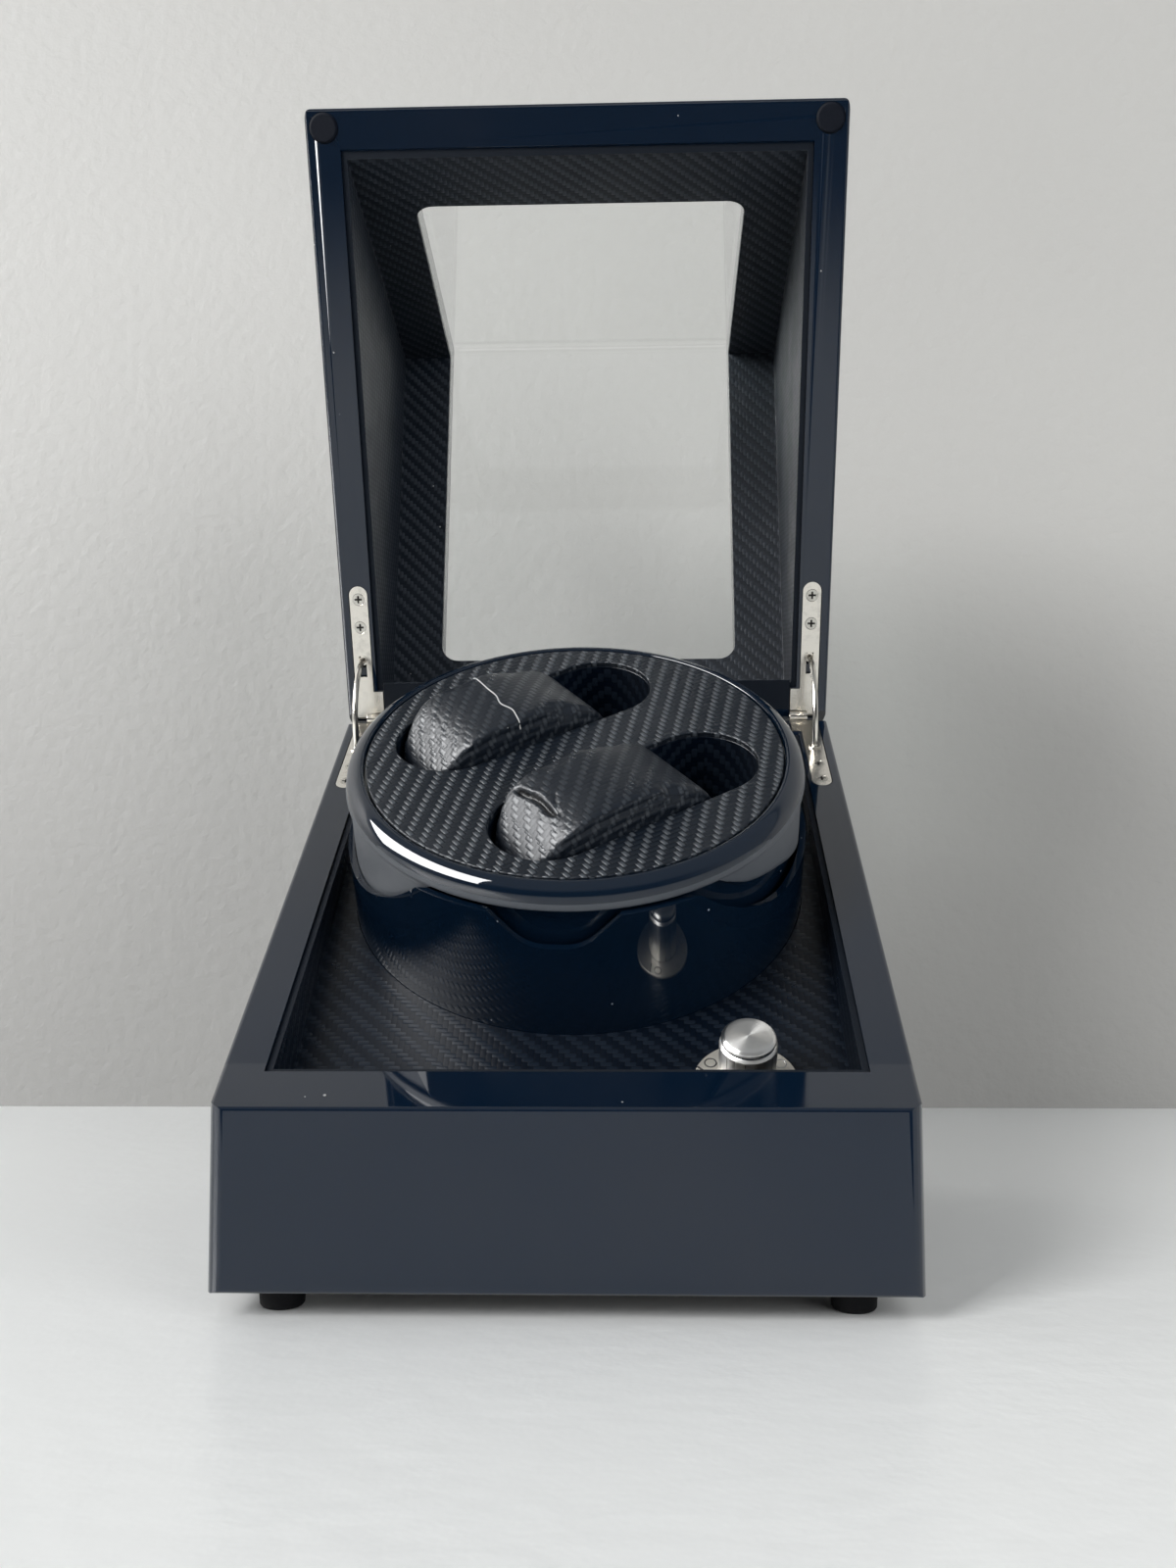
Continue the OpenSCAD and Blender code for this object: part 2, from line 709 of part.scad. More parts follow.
// A bucket stands on the cup's floor, under the opening in the face plate
module well_bucket(off) {
    lining_r = well_r + lining_t;
    color([0.02, 0.02, 0.025]) placed() on_deck() rotate(well_turn) difference() {
        intersection() {
            translate([0, off, bucket_low]) linear_extrude(ledge_h - bucket_low)
                stadium(well_half, lining_r + bucket_wall);
            cylinder(ledge_h, r = ledge_r - fit, $fn = 128);
        }
        translate([0, off, well_low]) linear_extrude(ledge_h) stadium(well_half, lining_r);
    }
}

module well_bucket_rear() { well_bucket(well_off); }
module well_bucket_front() { well_bucket(-well_off); }

module well_linings() {
    color([0.1, 0.1, 0.11]) placed() on_deck() wells() difference() {
        translate([0, 0, well_low]) linear_extrude(ledge_h - well_low)
            stadium(well_half, well_r + lining_t);
        translate([0, 0, well_low + lining_t]) linear_extrude(ledge_h)
            stadium(well_half, well_r);
    }
}

// A cushion: an arch that fills the lower end of its well
module cushion() {
    left = -well_half - well_r + cushion_gap + cushion_back;
    right = left + cushion_l;
    floor_h = well_low + lining_t + fit;
    waist = plate_top - 0.12 * cushion_l;
    crest = plate_top + cushion_rise;
    intersection() {
        rotate([90, 0, 0]) linear_extrude(2 * well_r, center = true)
            polygon(rounded([[left + 0.05 * cushion_l, floor_h], [right - 0.1 * cushion_l, floor_h],
                [right, waist], [right - 0.08 * cushion_l, crest - 0.08 * cushion_l],
                [right - 0.45 * cushion_l, crest + 0.1 * cushion_rise],
                [left + 0.2 * cushion_l, crest - 0.1 * cushion_rise], [left, waist]],
                cushion_l * [0.06, 0.06, 0.12, 0.24, 0.36, 0.27, 0.18]));
        linear_extrude(2 * crest) stadium(well_half, well_r - cushion_gap);
    }
}

module cushion_rear() {
    color([0.13, 0.13, 0.14]) placed() on_deck()
        rotate(well_turn) translate([0, well_off, 0]) cushion();
}

module cushion_front() {
    color([0.13, 0.13, 0.14]) placed() on_deck()
        rotate(well_turn) translate([0, -well_off, 0]) cushion();
}

// ---------------------------------------------------------------- drive

module rotor_spindle() {
    color([0.7, 0.7, 0.72]) placed() on_deck() difference() {
        translate([0, 0, spindle_low]) cylinder(cup_low + socket_h - spindle_low, r = spindle_r);
        translate([0, 0, bracket_low - 1 - clip_t - fit]) rotate_extrude()
            translate([spindle_r - 0.6, 0]) square([2, clip_t + 2 * fit]);
    }
}

module bush(length, flange_t) {
    difference() {
        union() {
            cylinder(length, r = bush_r);
            cylinder(flange_t, r = bush_r + 1.5);
        }
        translate([0, 0, -eps]) cylinder(length + 2 * eps, r = spindle_r + run_gap);
    }
}

module upper_bush() {
    color([0.72, 0.5, 0.25]) placed() on_deck() translate([0, 0, -deck_t + 1.2])
        rotate([180, 0, 0]) bush(boss_l + drum_floor_t + 1.2, 1.2);
}

module lower_bush() {
    color([0.72, 0.5, 0.25]) placed() on_deck() translate([0, 0, bracket_top + 1.2])
        rotate([180, 0, 0]) bush(bracket_t + 1.2, 1.2);
}

// Open retaining ring in the spindle's groove, under the lower bush
module spindle_clip() {
    color([0.5, 0.5, 0.52]) placed() on_deck() translate([0, 0, bracket_low - 1 - clip_t])
        difference() {
            cylinder(clip_t, r = spindle_r + 2);
            translate([0, 0, -eps]) cylinder(clip_t + 2 * eps, r = spindle_r - 0.6);
            translate([0, -1.6, -eps]) cube([2 * spindle_r, 3.2, clip_t + 2 * eps]);
        }
}

function involute(a) = tan(a) * 180 / PI - a;
function flank_angle(r, base_r, half_tooth) =
    half_tooth + involute(pressure_angle) - (r > base_r ? involute(acos(base_r / r)) : 0);

// Outline of a spur gear with involute teeth, one tooth centred on the x axis
module gear_outline(teeth) {
    pitch_r = gear_m * teeth / 2;
    base_r = pitch_r * cos(pressure_angle);
    root_r = pitch_r - 1.2 * gear_m;
    tip_r = pitch_r + 0.9 * gear_m;
    half_tooth = 90 / teeth - backlash / (4 * pitch_r) * 180 / PI;
    low_r = max(root_r, base_r);
    steps = 4;
    radii = [if (root_r < base_r) root_r, for (i = [0 : steps]) low_r + (tip_r - low_r) * i / steps];
    n = len(radii);
    polygon([for (k = [0 : teeth - 1]) each [
        for (i = [0 : n - 1]) let (a = k * 360 / teeth - flank_angle(radii[i], base_r, half_tooth))
            radii[i] * [cos(a), sin(a)],
        for (i = [n - 1 : -1 : 0]) let (a = k * 360 / teeth + flank_angle(radii[i], base_r, half_tooth))
            radii[i] * [cos(a), sin(a)]]]);
}

// Drive gear with a thin web, a hub and round lightening holes
module drive_gear() {
    color([0.9, 0.9, 0.86]) placed() on_deck() translate([0, 0, gear_low]) difference() {
        union() {
            linear_extrude(gear_w) gear_outline(gear_teeth);
            cylinder(gear_w + hub_rise, r = spindle_r + hub_wall);
        }
        for (side = [0, 1]) translate([0, 0, side > 0 ? gear_w - web_cut : -eps]) difference() {
            cylinder(web_cut + eps, r = gear_r - 4.5 * gear_m);
            translate([0, 0, -eps]) cylinder(web_cut + 3 * eps, r = spindle_r + hub_wall);
        }
        for (a = [30 : 60 : 330]) rotate(a) translate([(gear_r + spindle_r) / 2, 0, -eps])
            cylinder(gear_w + 2 * eps, r = gear_r * 0.13);
        translate([0, 0, -eps]) cylinder(gear_w + hub_rise + 2 * eps, r = spindle_r);
    }
}

module on_motor() { on_deck() translate([gear_centres, 0, 0]) children(); }

// Pinion with the motor's output shaft
module pinion() {
    color([0.9, 0.9, 0.86]) placed() on_motor() {
        translate([0, 0, gear_low - pinion_lap]) rotate(180 + 180 / pinion_teeth)
            linear_extrude(pinion_w) gear_outline(pinion_teeth);
        translate([0, 0, bracket_top - 1])
            cylinder(gear_top + pinion_lap + 1 - bracket_top, r = motor_shaft_r);
    }
}

module motor_gearbox() {
    color([0.65, 0.65, 0.66]) placed() on_motor() difference() {
        union() {
            translate([0, 0, bracket_low - gearbox_l]) cylinder(gearbox_l, r = gearbox_r);
            translate([0, 0, bracket_low]) cylinder(bracket_t, r = motor_out_r);
        }
        translate([0, 0, bracket_top - 1 - 0.4])
            cylinder(2, r = motor_shaft_r + run_gap);
        motor_screw_places() translate([0, 0, bracket_low - 6]) cylinder(7, r = shank_r, $fn = 32);
    }
}

module motor_can() {
    color([0.75, 0.75, 0.76]) placed() on_motor() {
        translate([0, 0, bracket_low - gearbox_l - motor_l]) cylinder(motor_l, r = motor_r);
        translate([0, 0, bracket_low - gearbox_l - motor_l - 1.5]) cylinder(2, r = motor_r * 0.4);
        for (y = [-1, 1]) translate([-0.4, y * motor_r * 0.65 - 1.2,
            bracket_low - gearbox_l - motor_l - 4]) cube([0.8, 2.4, 4.5]);
    }
}

module motor_screw_places() { for (y = [-1, 1]) translate([0, y * gearbox_r * 0.7, 0]) children(); }

module bracket_screw_places() {
    for (x = [bracket_in - bracket_tab / 2, bracket_out + bracket_t + bracket_tab / 2], y = [-1, 1])
        translate([x, y * bracket_half * 0.6, 0]) children();
}

// Sheet-metal bridge under the gear: strip, two legs and two tabs on the drum's floor
module motor_bracket() {
    leg_h = drum_floor_h - bracket_low;
    color([0.7, 0.7, 0.7]) placed() on_deck() difference() {
        translate([0, -bracket_half, 0]) {
            translate([bracket_in - bracket_t, 0, bracket_low])
                cube([bracket_out - bracket_in + 2 * bracket_t, 2 * bracket_half, bracket_t]);
            for (x = [bracket_in - bracket_t, bracket_out]) translate([x, 0, bracket_low])
                cube([bracket_t, 2 * bracket_half, leg_h]);
            translate([bracket_in - bracket_t - bracket_tab + bracket_t, 0, drum_floor_h - bracket_t])
                cube([bracket_tab, 2 * bracket_half, bracket_t]);
            translate([bracket_out, 0, drum_floor_h - bracket_t])
                cube([bracket_tab + bracket_t, 2 * bracket_half, bracket_t]);
        }
        translate([0, 0, bracket_low - eps]) cylinder(bracket_t + 2 * eps, r = bush_r);
        translate([gear_centres, 0, bracket_low - eps])
            cylinder(bracket_t + 2 * eps, r = motor_out_r + fit);
        translate([gear_centres, 0, bracket_low - eps]) motor_screw_places()
            cylinder(bracket_t + 2 * eps, r = shank_r + fit, $fn = 32);
        bracket_screw_places() translate([0, 0, drum_floor_h - bracket_t - eps])
            cylinder(bracket_t + 2 * eps, r = shank_r, $fn = 32);
    }
}

module bracket_screws() {
    color([0.6, 0.6, 0.6]) placed() {
        on_deck() bracket_screw_places() translate([0, 0, drum_floor_h - bracket_t])
            rotate([180, 0, 0]) pan_screw(bracket_t + drum_floor_t);
        on_motor() motor_screw_places() translate([0, 0, bracket_top]) pan_screw(bracket_t + 5);
    }
}

// Flat-headed machine screw: head above z = 0, shank below
module pan_screw(length) {
    difference() {
        union() {
            cylinder(pan_h, r = head_r, $fn = 32);
            translate([0, 0, -length]) cylinder(length, r = shank_r, $fn = 32);
        }
        for (a = [0, 90]) rotate(a) translate([-head_r * 0.6, -recess_w / 2, pan_h - recess_d])
            cube([head_r * 1.2, recess_w, recess_d + eps]);
    }
}

// ---------------------------------------------------------------- switch and socket

module circuit_board() {
    board_top = -deck_t - switch_depth;
    color([0.05, 0.3, 0.15]) placed() on_knob() translate([0, 0, board_top - board_t]) {
        difference() {
            translate([-board_half.x, -board_half.y, 0])
                cube([2 * board_half.x, 2 * board_half.y, board_t]);
            for (x = [-1, 1], y = [-1, 1])
                translate([x * (board_half.x - 3), y * (board_half.y - 3), -eps])
                    cylinder(board_t + 2 * eps, r = 1.6, $fn = 32);
        }
        translate([-16, -7, board_t]) cube([6, 9, 1.6]);
        translate([-15, 6, board_t]) cylinder(5, r = 2.5, $fn = 32);
        translate([10, -12, board_t]) cube([7, 5, 6]);
    }
}

module rotary_switch() {
    color([0.15, 0.15, 0.16]) placed() on_knob() difference() {
        union() {
            translate([-switch_half, -switch_half, -deck_t - switch_depth])
                cube([2 * switch_half, 2 * switch_half, switch_depth]);
            translate([0, 0, -deck_t]) cylinder(deck_t + dial_t + nut_t, r = thread_r);
        }
        translate([0, 0, -deck_t - switch_depth + 2])
            cylinder(switch_depth + deck_t + 10, r = shaft_r + run_gap);
    }
}

module switch_nut() {
    color([0.7, 0.7, 0.7]) placed() on_knob() translate([0, 0, dial_t]) difference() {
        cylinder(nut_t, r = 5.2, $fn = 6);
        translate([0, 0, -eps]) cylinder(nut_t + 2 * eps, r = thread_r);
    }
}

module switch_shaft() {
    color([0.7, 0.7, 0.72]) placed() on_knob() {
        translate([0, 0, -deck_t - switch_depth + 2.3])
            cylinder(knob_top - cap_h - 2 + deck_t + switch_depth - 2.3, r = shaft_r);
    }
}

// Fluted knob, hollow underneath so that it covers the nut
module knob() {
    body_h = knob_h - cap_h;
    flute_r = 0.55;
    color([0.04, 0.04, 0.045]) placed() on_knob() difference() {
        translate([0, 0, knob_low]) cylinder(body_h, r = knob_r - 0.2);
        for (i = [0 : knob_flutes - 1]) rotate((i + 0.5) * 360 / knob_flutes)
            translate([knob_r + 0.15, 0, knob_low - eps])
                cylinder(body_h - 1 + eps, r = flute_r, $fn = 16);
        translate([0, 0, knob_low - eps]) cylinder(nut_t + eps, r = knob_well_r);
        translate([0, 0, knob_low - eps]) cylinder(knob_top - cap_h - 2 - knob_low + eps, r = shaft_r);
    }
}

module knob_cap() {
    color([0.8, 0.8, 0.8]) placed() on_knob() translate([0, 0, knob_top - cap_h]) {
        cylinder(cap_h - 0.7, r = knob_r);
        translate([0, 0, cap_h - 0.7]) cylinder(0.7, knob_r, knob_r - 0.7);
    }
}

module dial_plate() {
    color([0.75, 0.75, 0.76]) placed() on_knob() difference() {
        union() {
            cylinder(dial_t - 0.3, r = dial_r);
            translate([0, 0, dial_t - 0.3]) cylinder(0.3, dial_r, dial_r - 0.3);
        }
        translate([0, 0, -eps]) cylinder(dial_t + 2 * eps, r = thread_r + fit);
    }
}

// Power socket: collar outside, threaded barrel through the back wall, contact at the bottom
module power_socket() {
    socket_l = wall + 3;
    color([0.06, 0.06, 0.06]) placed() translate([jack_x, box_d, socket_z]) rotate([90, 0, 0]) {
        difference() {
            union() {
                translate([0, 0, -collar_t]) cylinder(collar_t, r = socket_flange_r);
                cylinder(socket_l, r = jack_r);
            }
            translate([0, 0, -collar_t - eps]) cylinder(plug_l + collar_t + eps, r = plug_hole_r);
            cylinder(plug_l + 4, r = plug_hole_r - 0.5);
        }
        translate([0, 0, plug_l]) cylinder(4.5, r = 1, $fn = 32);
    }
}

module socket_nut() {
    color([0.7, 0.7, 0.7]) placed() translate([jack_x, box_d - socket_seat_t, socket_z])
        rotate([90, 0, 0]) difference() {
            cylinder(nut_t, r = socket_flange_r + 0.6, $fn = 6);
            translate([0, 0, -eps]) cylinder(nut_t + 2 * eps, r = jack_r);
        }
}

// ---------------------------------------------------------------- lid, modelled shut

// Side view of the lid, made smaller all round by t; the rim side stays for t = 0 only
function lid_side(t) = [[t, lid_low + t * tan(rim_slope)],
    [box_d - back_bevel - t, rim_z(box_d - back_bevel) + gap_z - t * tan(rim_slope)],
    [box_d - t, rim_z(box_d) + gap_z + bevel_run], [box_d - t, top_z - t], [t, top_z - t]];

module lid_outline() { across(rounded(lid_side(0), lid_radii), half_w); }

// Hollow of the lid: walls of thickness w and a top of thickness t, down past the rim
module lid_hollow(w, t, half) {
    translate([-half, w, foot_h]) cube([2 * half, box_d - 2 * w, box_h - t]);
}

module above_rim(drop) {
    on_rim() translate([-box_w, -box_d, rim_gap + drop]) cube([2 * box_w, 4 * box_d, 2 * top_z]);
}

// The window's cutter: one prism through the top, one through the front, wider by grow
module window_cut(grow, depth) {
    half = window_half + grow;
    sill = lid_low + window_sill - grow;
    back = box_d - window_back + grow;
    over = 2 * window_r;
    translate([-half, -over, top_z - depth]) linear_extrude(depth + eps)
        round_rect([2 * half, back + over], window_r);
    translate([0, depth, 0]) rotate([90, 0, 0]) linear_extrude(depth + eps)
        translate([-half, sill]) round_rect([2 * half, top_z + over - sill], window_r);
}

// Skin of the lid's front and top, as thick as the pane
module pane_skin() {
    difference() {
        lid_outline();
        across(rounded([[pane_t, -top_z], [2 * box_d, -top_z], [2 * box_d, top_z - pane_t],
            [pane_t, top_z - pane_t]], [0, 0, 0, bend_r - pane_t]), box_w);
    }
}

module lid_strip_space() {
    on_rim() translate([-leaf_in + fit, lined_back / cos(rim_slope), rim_gap - eps])
        cube([2 * (leaf_in - fit), (box_d - lined_back) / cos(rim_slope) - bevel_run,
            strip_t + eps]);
}

module lid_shell() {
    color([0.03, 0.03, 0.035]) placed() swung() difference() {
        intersection() { lid_outline(); plan_prism(); }
        lid_hollow(wall, lid_top_t, in_half);
        window_cut(0, lid_top_t + wall);
        intersection() { window_cut(pane_lap, lid_top_t); pane_skin(); }
        both_sides() on_rim() translate([half_w, -box_d, rim_gap]) mirror([0, 0, 1])
            edge_cutter(3 * box_d);
        lid_strip_space();
        both_sides() lid_mortise();
        both_sides() stay_pocket();
        bumper_places() translate([0, 0, -eps]) cylinder(bumper_seat + eps, r = bumper_r + fit);
    }
}

module lid_lining() {
    color([0.1, 0.1, 0.11]) placed() swung() difference() {
        union() {
            intersection() {
                difference() {
                    lid_hollow(wall, lid_top_t, in_half);
                    lid_hollow(wall + liner_t, lid_top_t + liner_t, lined_half);
                }
                union() {
                    above_rim(liner_drop);
                    on_rim() translate([-leaf_in + fit, lined_back / cos(rim_slope), rim_gap + strip_t])
                        cube([2 * (leaf_in - fit), 2 * liner_t, liner_drop]);
                }
            }
            intersection() {
                lid_strip_space();
                above_rim(0);
            }
        }
        window_cut(0, lid_top_t + wall);
        both_sides() lid_mortise();
    }
}

module window_pane() {
    color([0.85, 0.88, 0.9, 0.35]) placed() swung() intersection() {
        pane_skin();
        window_cut(pane_lap - pane_gap, lid_top_t);
    }
}

module bumper_places() {
    for (x = [-1, 1]) on_rim()
        translate([x * (half_w - bumper_in), bumper_in / cos(rim_slope), rim_gap]) children();
}

module lid_bumpers() {
    color([0.2, 0.2, 0.21]) placed() swung() bumper_places() {
        cylinder(bumper_seat, r = bumper_r);
        translate([0, 0, bumper_slack - rim_gap])
            cylinder(rim_gap - bumper_slack, bumper_r - 0.4, bumper_r);
    }
}

// ---------------------------------------------------------------- hinges

// Outline of a leaf on the right side: x across, y away from the pin
module leaf_outline(grow, reach) {
    end_r = leaf_w / 2 + grow;
    translate([leaf_x - end_r, 0]) square([2 * end_r, reach - leaf_w / 2]);
    translate([leaf_x, reach - leaf_w / 2]) circle(end_r, $fn = 48);
    translate([leaf_in - grow, 0])
        square([leaf_foot_w + 2 * grow, leaf_foot_l + grow]);
}

// Outline of a leaf's mortise, which runs out through the back edge
module mortise_outline() {
    leaf_outline(fit, leaf_l);
    translate([leaf_in - fit, -2 * back_bevel])
        square([leaf_foot_w + 2 * fit, 2 * back_bevel + eps]);
}

// Puts a flat outline on the rim, with y running from the pin towards the front
module from_pin() { on_rim() translate([0, pin_s, 0]) mirror([0, 1, 0]) children(); }

module knuckle_space() {
    translate([leaf_in - fit, pin_y, pin_z]) rotate([0, 90, 0])
        cylinder(leaf_foot_w + 2 * fit, r = knuckle_r + knuckle_gap, $fn = 48);
}

module base_mortise() {
    from_pin() translate([0, 0, -leaf_t]) linear_extrude(leaf_t + eps) mortise_outline();
    knuckle_space();
    from_pin() leaf_screw_places() screw_hole(screw_l);
}

module lid_mortise() {
    from_pin() translate([0, 0, rim_gap - eps]) linear_extrude(leaf_t + eps) mortise_outline();
    knuckle_space();
    from_pin() translate([0, 0, rim_gap]) mirror([0, 0, 1]) leaf_screw_places()
        screw_hole(screw_l);
}

module leaf_screw_places() {
    for (y = [screw_1, screw_2]) translate([leaf_x, y, 0]) children();
}

// Knuckle of one leaf, from x = a to x = b
module knuckle(a, b) {
    difference() {
        translate([a, pin_y, pin_z]) rotate([0, 90, 0]) cylinder(b - a, r = knuckle_r, $fn = 48);
        translate([a - eps, pin_y, pin_z]) rotate([0, 90, 0])
            cylinder(b - a + 2 * eps, r = pin_r + run_gap, $fn = 48);
    }
}

// The leaf's plate, cut back round the other leaf's knuckle
module leaf_plate(low) {
    difference() {
        from_pin() translate([0, 0, low]) linear_extrude(leaf_t) leaf_outline(0, leaf_l);
        translate([leaf_in - eps, pin_y, pin_z]) rotate([0, 90, 0])
            cylinder(2 * half_w, r = pin_r + run_gap, $fn = 48);
    }
}

module base_leaf() {
    difference() {
        leaf_plate(-leaf_t);
        translate([knuckle_mid - fit, pin_y, pin_z]) rotate([0, 90, 0])
            cylinder(leaf_foot_w, r = knuckle_r + knuckle_gap, $fn = 48);
        from_pin() leaf_screw_places() screw_hole(screw_l);
    }
    knuckle(leaf_in, knuckle_mid - fit);
}

module lid_leaf() {
    difference() {
        leaf_plate(rim_gap);
        translate([leaf_in - eps, pin_y, pin_z]) rotate([0, 90, 0])
            cylinder(knuckle_l / 2 + fit + eps, r = knuckle_r + knuckle_gap, $fn = 48);
        from_pin() translate([0, 0, rim_gap]) mirror([0, 0, 1]) leaf_screw_places()
            screw_hole(screw_l);
        from_pin() translate([leaf_x - slot_half_w, stay_arc_r - 6, rim_gap - eps])
            cube([2 * slot_half_w, 8, leaf_t + 2 * eps]);
    }
    knuckle(knuckle_mid + fit, leaf_in + knuckle_l);
}

module base_leaf_right() { color(nickel) placed() base_leaf(); }
module base_leaf_left() { color(nickel) placed() mirror([1, 0, 0]) base_leaf(); }
module lid_leaf_right() { color(nickel) placed() swung() lid_leaf(); }
module lid_leaf_left() { color(nickel) placed() swung() mirror([1, 0, 0]) lid_leaf(); }

module base_leaf_screws() {
    color([0.6, 0.58, 0.55]) placed() both_sides() from_pin() leaf_screw_places() screw(screw_l);
}

module lid_leaf_screws() {
    color([0.6, 0.58, 0.55]) placed() swung() both_sides() from_pin() translate([0, 0, rim_gap])
        mirror([0, 0, 1]) leaf_screw_places() screw(screw_l);
}

module hinge_pins() {
    color([0.7, 0.68, 0.65]) placed() both_sides() translate([leaf_in, pin_y, pin_z])
        rotate([0, 90, 0]) cylinder(knuckle_l, r = pin_r, $fn = 48);
}

// Sweeps a cross-section round the pin, from the base's rim towards the opening lid
module round_pin(from, sweep) {
    translate([leaf_x, pin_y, pin_z]) rotate([0, 90, 0])
        rotate(270 + rim_slope - from - sweep) rotate_extrude(angle = sweep, $fn = 128) children();
}

module stay_pocket() {
    round_pin(-2, open_angle + 16) translate([stay_arc_r - pocket_half, -pocket_half])
        square([2 * pocket_half, 2 * pocket_half]);
}

// Stay: a wire quadrant on a round foot, ending in a stop behind the lid's leaf
module stay() {
    stop_from = open_angle + 5.8;
    from_pin() translate([leaf_x, stay_arc_r, 0])
        cylinder(rim_gap - 2 * fit, r = stay_wire_r + stay_foot, $fn = 32);
    round_pin(-0.4, stop_from + 0.4) translate([stay_arc_r, 0]) circle(stay_wire_r, $fn = 32);
    round_pin(stop_from - 0.5, 4.5) translate([stay_arc_r, 0]) circle(stay_wire_r + stop_grow, $fn = 32);
}

module stay_right() { color(nickel) placed() stay(); }
module stay_left() { color(nickel) placed() mirror([1, 0, 0]) stay(); }

// ---------------------------------------------------------------- assembly

base_shell();
bottom_panel();
panel_screws();
rubber_feet();
base_lining();
deck_panel();
deck_battens();
drum();
drum_screws();
rotor_ring();
rotor_plate();
rotor_cup();
well_bucket_rear();
well_bucket_front();
well_linings();
rotor_spindle();
upper_bush();
lower_bush();
spindle_clip();
drive_gear();
pinion();
motor_gearbox();
motor_can();
motor_bracket();
bracket_screws();
cushion_rear();
cushion_front();
circuit_board();
rotary_switch();
switch_nut();
switch_shaft();
knob();
knob_cap();
dial_plate();
power_socket();
socket_nut();
lid_shell();
lid_lining();
window_pane();
lid_bumpers();
lid_leaf_left();
lid_leaf_right();
lid_leaf_screws();
base_leaf_left();
base_leaf_right();
base_leaf_screws();
hinge_pins();
stay_left();
stay_right();
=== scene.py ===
# %% [markdown]
# # Watch winder box
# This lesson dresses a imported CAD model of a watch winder: a lacquered wooden box with a sloping
# rim, a lid with a bent window and a tilted drum whose rotor carries two leather cushions.
# The CAD nodes arrive as the frame. They hold the true sizes and the bodies that move, so every
# new piece is placed from them and rides on one of their bodies.

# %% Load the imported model
import bpy
import json
import math
import numpy as np
from mathutils import Matrix, Vector
from mathutils.bvhtree import BVHTree


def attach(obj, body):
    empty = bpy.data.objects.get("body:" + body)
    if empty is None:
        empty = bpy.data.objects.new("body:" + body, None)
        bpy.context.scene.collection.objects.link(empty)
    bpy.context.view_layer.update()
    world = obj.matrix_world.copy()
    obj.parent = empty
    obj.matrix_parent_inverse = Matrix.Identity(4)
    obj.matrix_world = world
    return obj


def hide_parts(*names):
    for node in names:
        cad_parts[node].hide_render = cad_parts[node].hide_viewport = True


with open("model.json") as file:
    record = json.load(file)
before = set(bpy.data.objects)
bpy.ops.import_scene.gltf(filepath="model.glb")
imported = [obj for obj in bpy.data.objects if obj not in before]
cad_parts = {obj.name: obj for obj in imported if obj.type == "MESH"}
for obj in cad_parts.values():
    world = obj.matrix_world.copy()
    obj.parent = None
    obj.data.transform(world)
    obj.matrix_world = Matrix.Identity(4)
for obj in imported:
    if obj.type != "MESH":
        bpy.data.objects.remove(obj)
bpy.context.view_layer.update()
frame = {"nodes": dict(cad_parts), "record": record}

MM = 0.001
record = frame["record"]
joints = {joint["name"]: joint for joint in record["behaviour"]["joints"]}

# %% [markdown]
# ## Frames to measure in
# The rotor, its drum and the knob stand square on a deck that is tilted by 38 degrees, and the lid
# is a shut lid turned back by 100 degrees. Working in those tilted frames keeps the numbers simple.
# Each frame is a matrix whose columns are its own axes, taken from the joints of the CAD model.

# %% Deck frame, lid frame and a few measures
rotor_centre = Vector(joints["rotor_spin"]["pos_m"])
deck_up = Vector(joints["rotor_spin"]["axis"]).normalized()
across = Vector((1, 0, 0))
deck_back = deck_up.cross(across)


def frame_from(origin, x_axis, y_axis, z_axis):
    m = Matrix((x_axis, y_axis, z_axis)).transposed().to_4x4()
    m.translation = origin
    return m


deck_frame = frame_from(rotor_centre, across, deck_back, deck_up)
knob_centre = Vector(joints["knob_turn"]["pos_m"])
knob_frame = frame_from(knob_centre, across, deck_back, deck_up)
hinge_pin = Vector(joints["lid_hinge"]["pos_m"])
open_angle = math.radians(-joints["lid_hinge"]["range_deg"][0])
lid_opened = (Matrix.Translation(hinge_pin) @ Matrix.Rotation(-open_angle, 4, "X")
              @ Matrix.Translation(-hinge_pin))
RIM_SLOPE = math.radians(34)
WELL_TURN = math.radians(35.5)
well_axis = (across * math.cos(WELL_TURN) + deck_back * math.sin(WELL_TURN)).normalized()
well_frame = frame_from(rotor_centre, well_axis, deck_up.cross(well_axis), deck_up)
print("rotor centre in mm:", [round(x / MM, 2) for x in rotor_centre])

# %% [markdown]
# ## Camera
# The camera stands low and close, a little towards the knob's side, so that the sides of the box
# run together towards the wall. A 33 mm lens on a tall frame gives that strong perspective. The
# camera is made first, because it decides what the later steps have to show.

# %% Camera
camera = bpy.data.objects.new("camera", bpy.data.cameras.new("camera"))
bpy.context.scene.collection.objects.link(camera)
camera.data.lens = 33.45
camera.data.sensor_width = 36
camera.data.clip_start = 0.01
CAMERA_PLACE = Vector((18.84, -487.78, 107.68)) * MM
yaw, pitch, roll = -0.0334, -0.0724, -0.003  # radians
ahead = Vector((math.sin(yaw) * math.cos(pitch), math.cos(yaw) * math.cos(pitch), -math.sin(pitch)))
flat_right = Vector((math.cos(yaw), -math.sin(yaw), 0))
flat_up = flat_right.cross(ahead)
right = flat_right * math.cos(roll) + flat_up * math.sin(roll)
up = flat_up * math.cos(roll) - flat_right * math.sin(roll)
camera.matrix_world = frame_from(CAMERA_PLACE, right, up, -ahead)
bpy.context.scene.camera = camera
bpy.context.scene.view_settings.view_transform = "Standard"
print("camera in mm:", [round(c / MM) for c in camera.matrix_world.translation])

